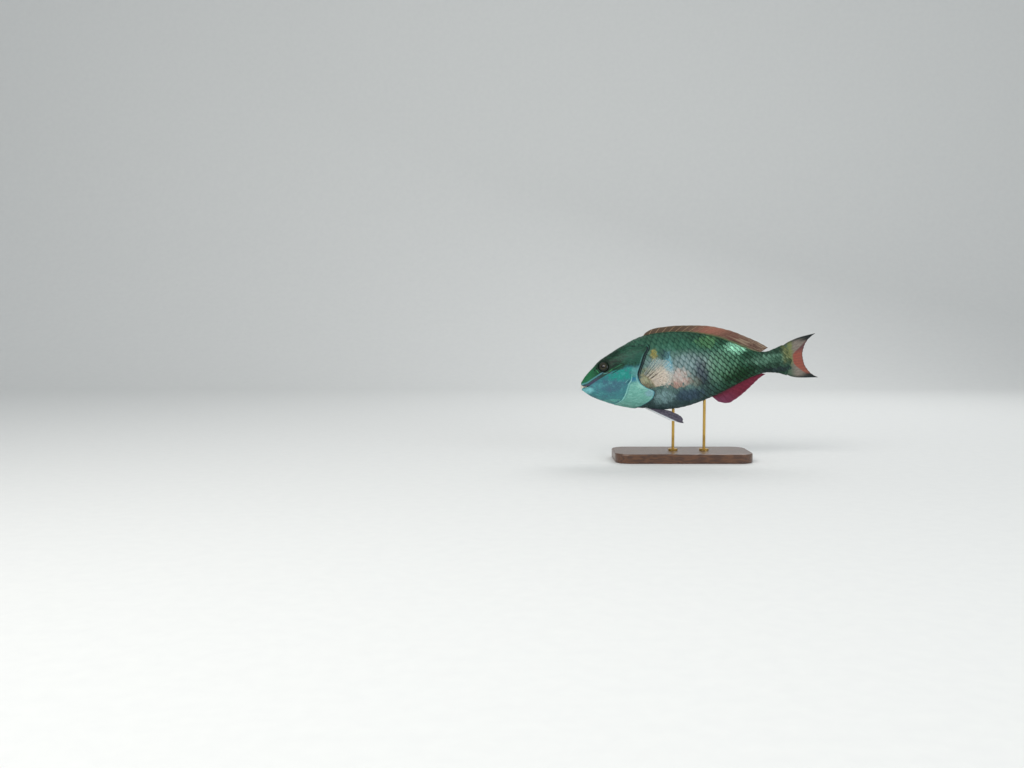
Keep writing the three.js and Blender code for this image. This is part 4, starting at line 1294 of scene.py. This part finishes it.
# %% Paper sweep
FLOOR_FRONT, FLOOR_BACK, BEND, WALL_TOP, HALF_SPAN = -3.0, 1.6, 0.9, 4.0, 5.0
bend = np.linspace(0, np.pi / 2, 24)
sweep_depth = np.concatenate([np.linspace(FLOOR_FRONT, FLOOR_BACK, 24), FLOOR_BACK + BEND * np.sin(bend),
                              np.full(8, FLOOR_BACK + BEND)])
sweep_rise = np.concatenate([np.zeros(24), BEND - BEND * np.cos(bend), np.linspace(1.0, WALL_TOP, 8)])
sweep_points = [(x, y, z) for y, z in zip(sweep_depth, sweep_rise) for x in (-HALF_SPAN, HALF_SPAN)]
sweep_faces = [(2 * i, 2 * i + 1, 2 * i + 3, 2 * i + 2) for i in range(len(sweep_depth) - 1)]
sweep_mesh = bpy.data.meshes.new("paper_sweep")
sweep_mesh.from_pydata(sweep_points, [], sweep_faces)
sweep_mesh.polygons.foreach_set("use_smooth", [True] * len(sweep_faces))
sweep = add("paper_sweep", sweep_mesh)
paper = Finish("pale paper")
tooth = paper.noise(paper.here(), 60.0, 3.0, 0.5)
tone = paper.blend(tooth, (226, 227, 226), (232, 233, 231))
paper.set(Base_Color=tone, Roughness=0.8 + 0.1 * tooth).on(sweep)


# %% Lights
def soft_box(name, place, size, power, warmth):
    """A broad lamp that looks at the fish."""
    source = bpy.data.lights.new(name, "AREA")
    source.shape, source.size, source.size_y = "RECTANGLE", size, size * 0.7
    source.energy, source.color = power, warmth
    lamp = add(name, source)
    lamp.location = place
    lamp.rotation_euler = (FISH_MIDDLE - Vector(place)).to_track_quat("-Z", "Y").to_euler()


FISH_MIDDLE = Vector((0.0, 0.0, 0.16))
soft_box("key", (-1.1, -1.6, 1.6), 1.4, 30, (1.0, 0.98, 0.95))
soft_box("fill", (1.6, -1.7, 0.8), 1.6, 13, (0.93, 0.97, 1.0))
soft_box("rim", (0.6, 1.3, 1.5), 1.2, 12, (1.0, 1.0, 1.0))
world = bpy.data.worlds.new("soft sky")
world.use_nodes = True
world.node_tree.nodes["Background"].inputs[0].default_value = (0.86, 0.9, 0.93, 1)
world.node_tree.nodes["Background"].inputs[1].default_value = 0.5
bpy.context.scene.world = world
bpy.context.scene.view_settings.view_transform = "Standard"

# %% Camera
PICTURE = (1024, 768)
FISH_PIXEL = (698.6, 368.9)
MM_PER_PIXEL = 1.688
FIELD, LOOK_DOWN = math.radians(50), math.radians(4)
focal = PICTURE[0] / 2 / math.tan(FIELD / 2)
distance = focal * MM_PER_PIXEL / 1000
camera_data = bpy.data.cameras.new("camera")
camera_data.angle = FIELD
camera = bpy.context.scene.camera = add("camera", camera_data)
camera.rotation_euler = (math.pi / 2 - LOOK_DOWN, 0, 0)
off_middle = ((FISH_PIXEL[0] - PICTURE[0] / 2) / focal, (PICTURE[1] / 2 - FISH_PIXEL[1]) / focal, -1.0)
in_view = camera.rotation_euler.to_matrix() @ (Vector(off_middle) * distance)
camera.location = Vector(placed([(200.0, 0.0, 0.0)])[0]) - in_view
print("the camera stands", [round(value, 3) for value in camera.location])
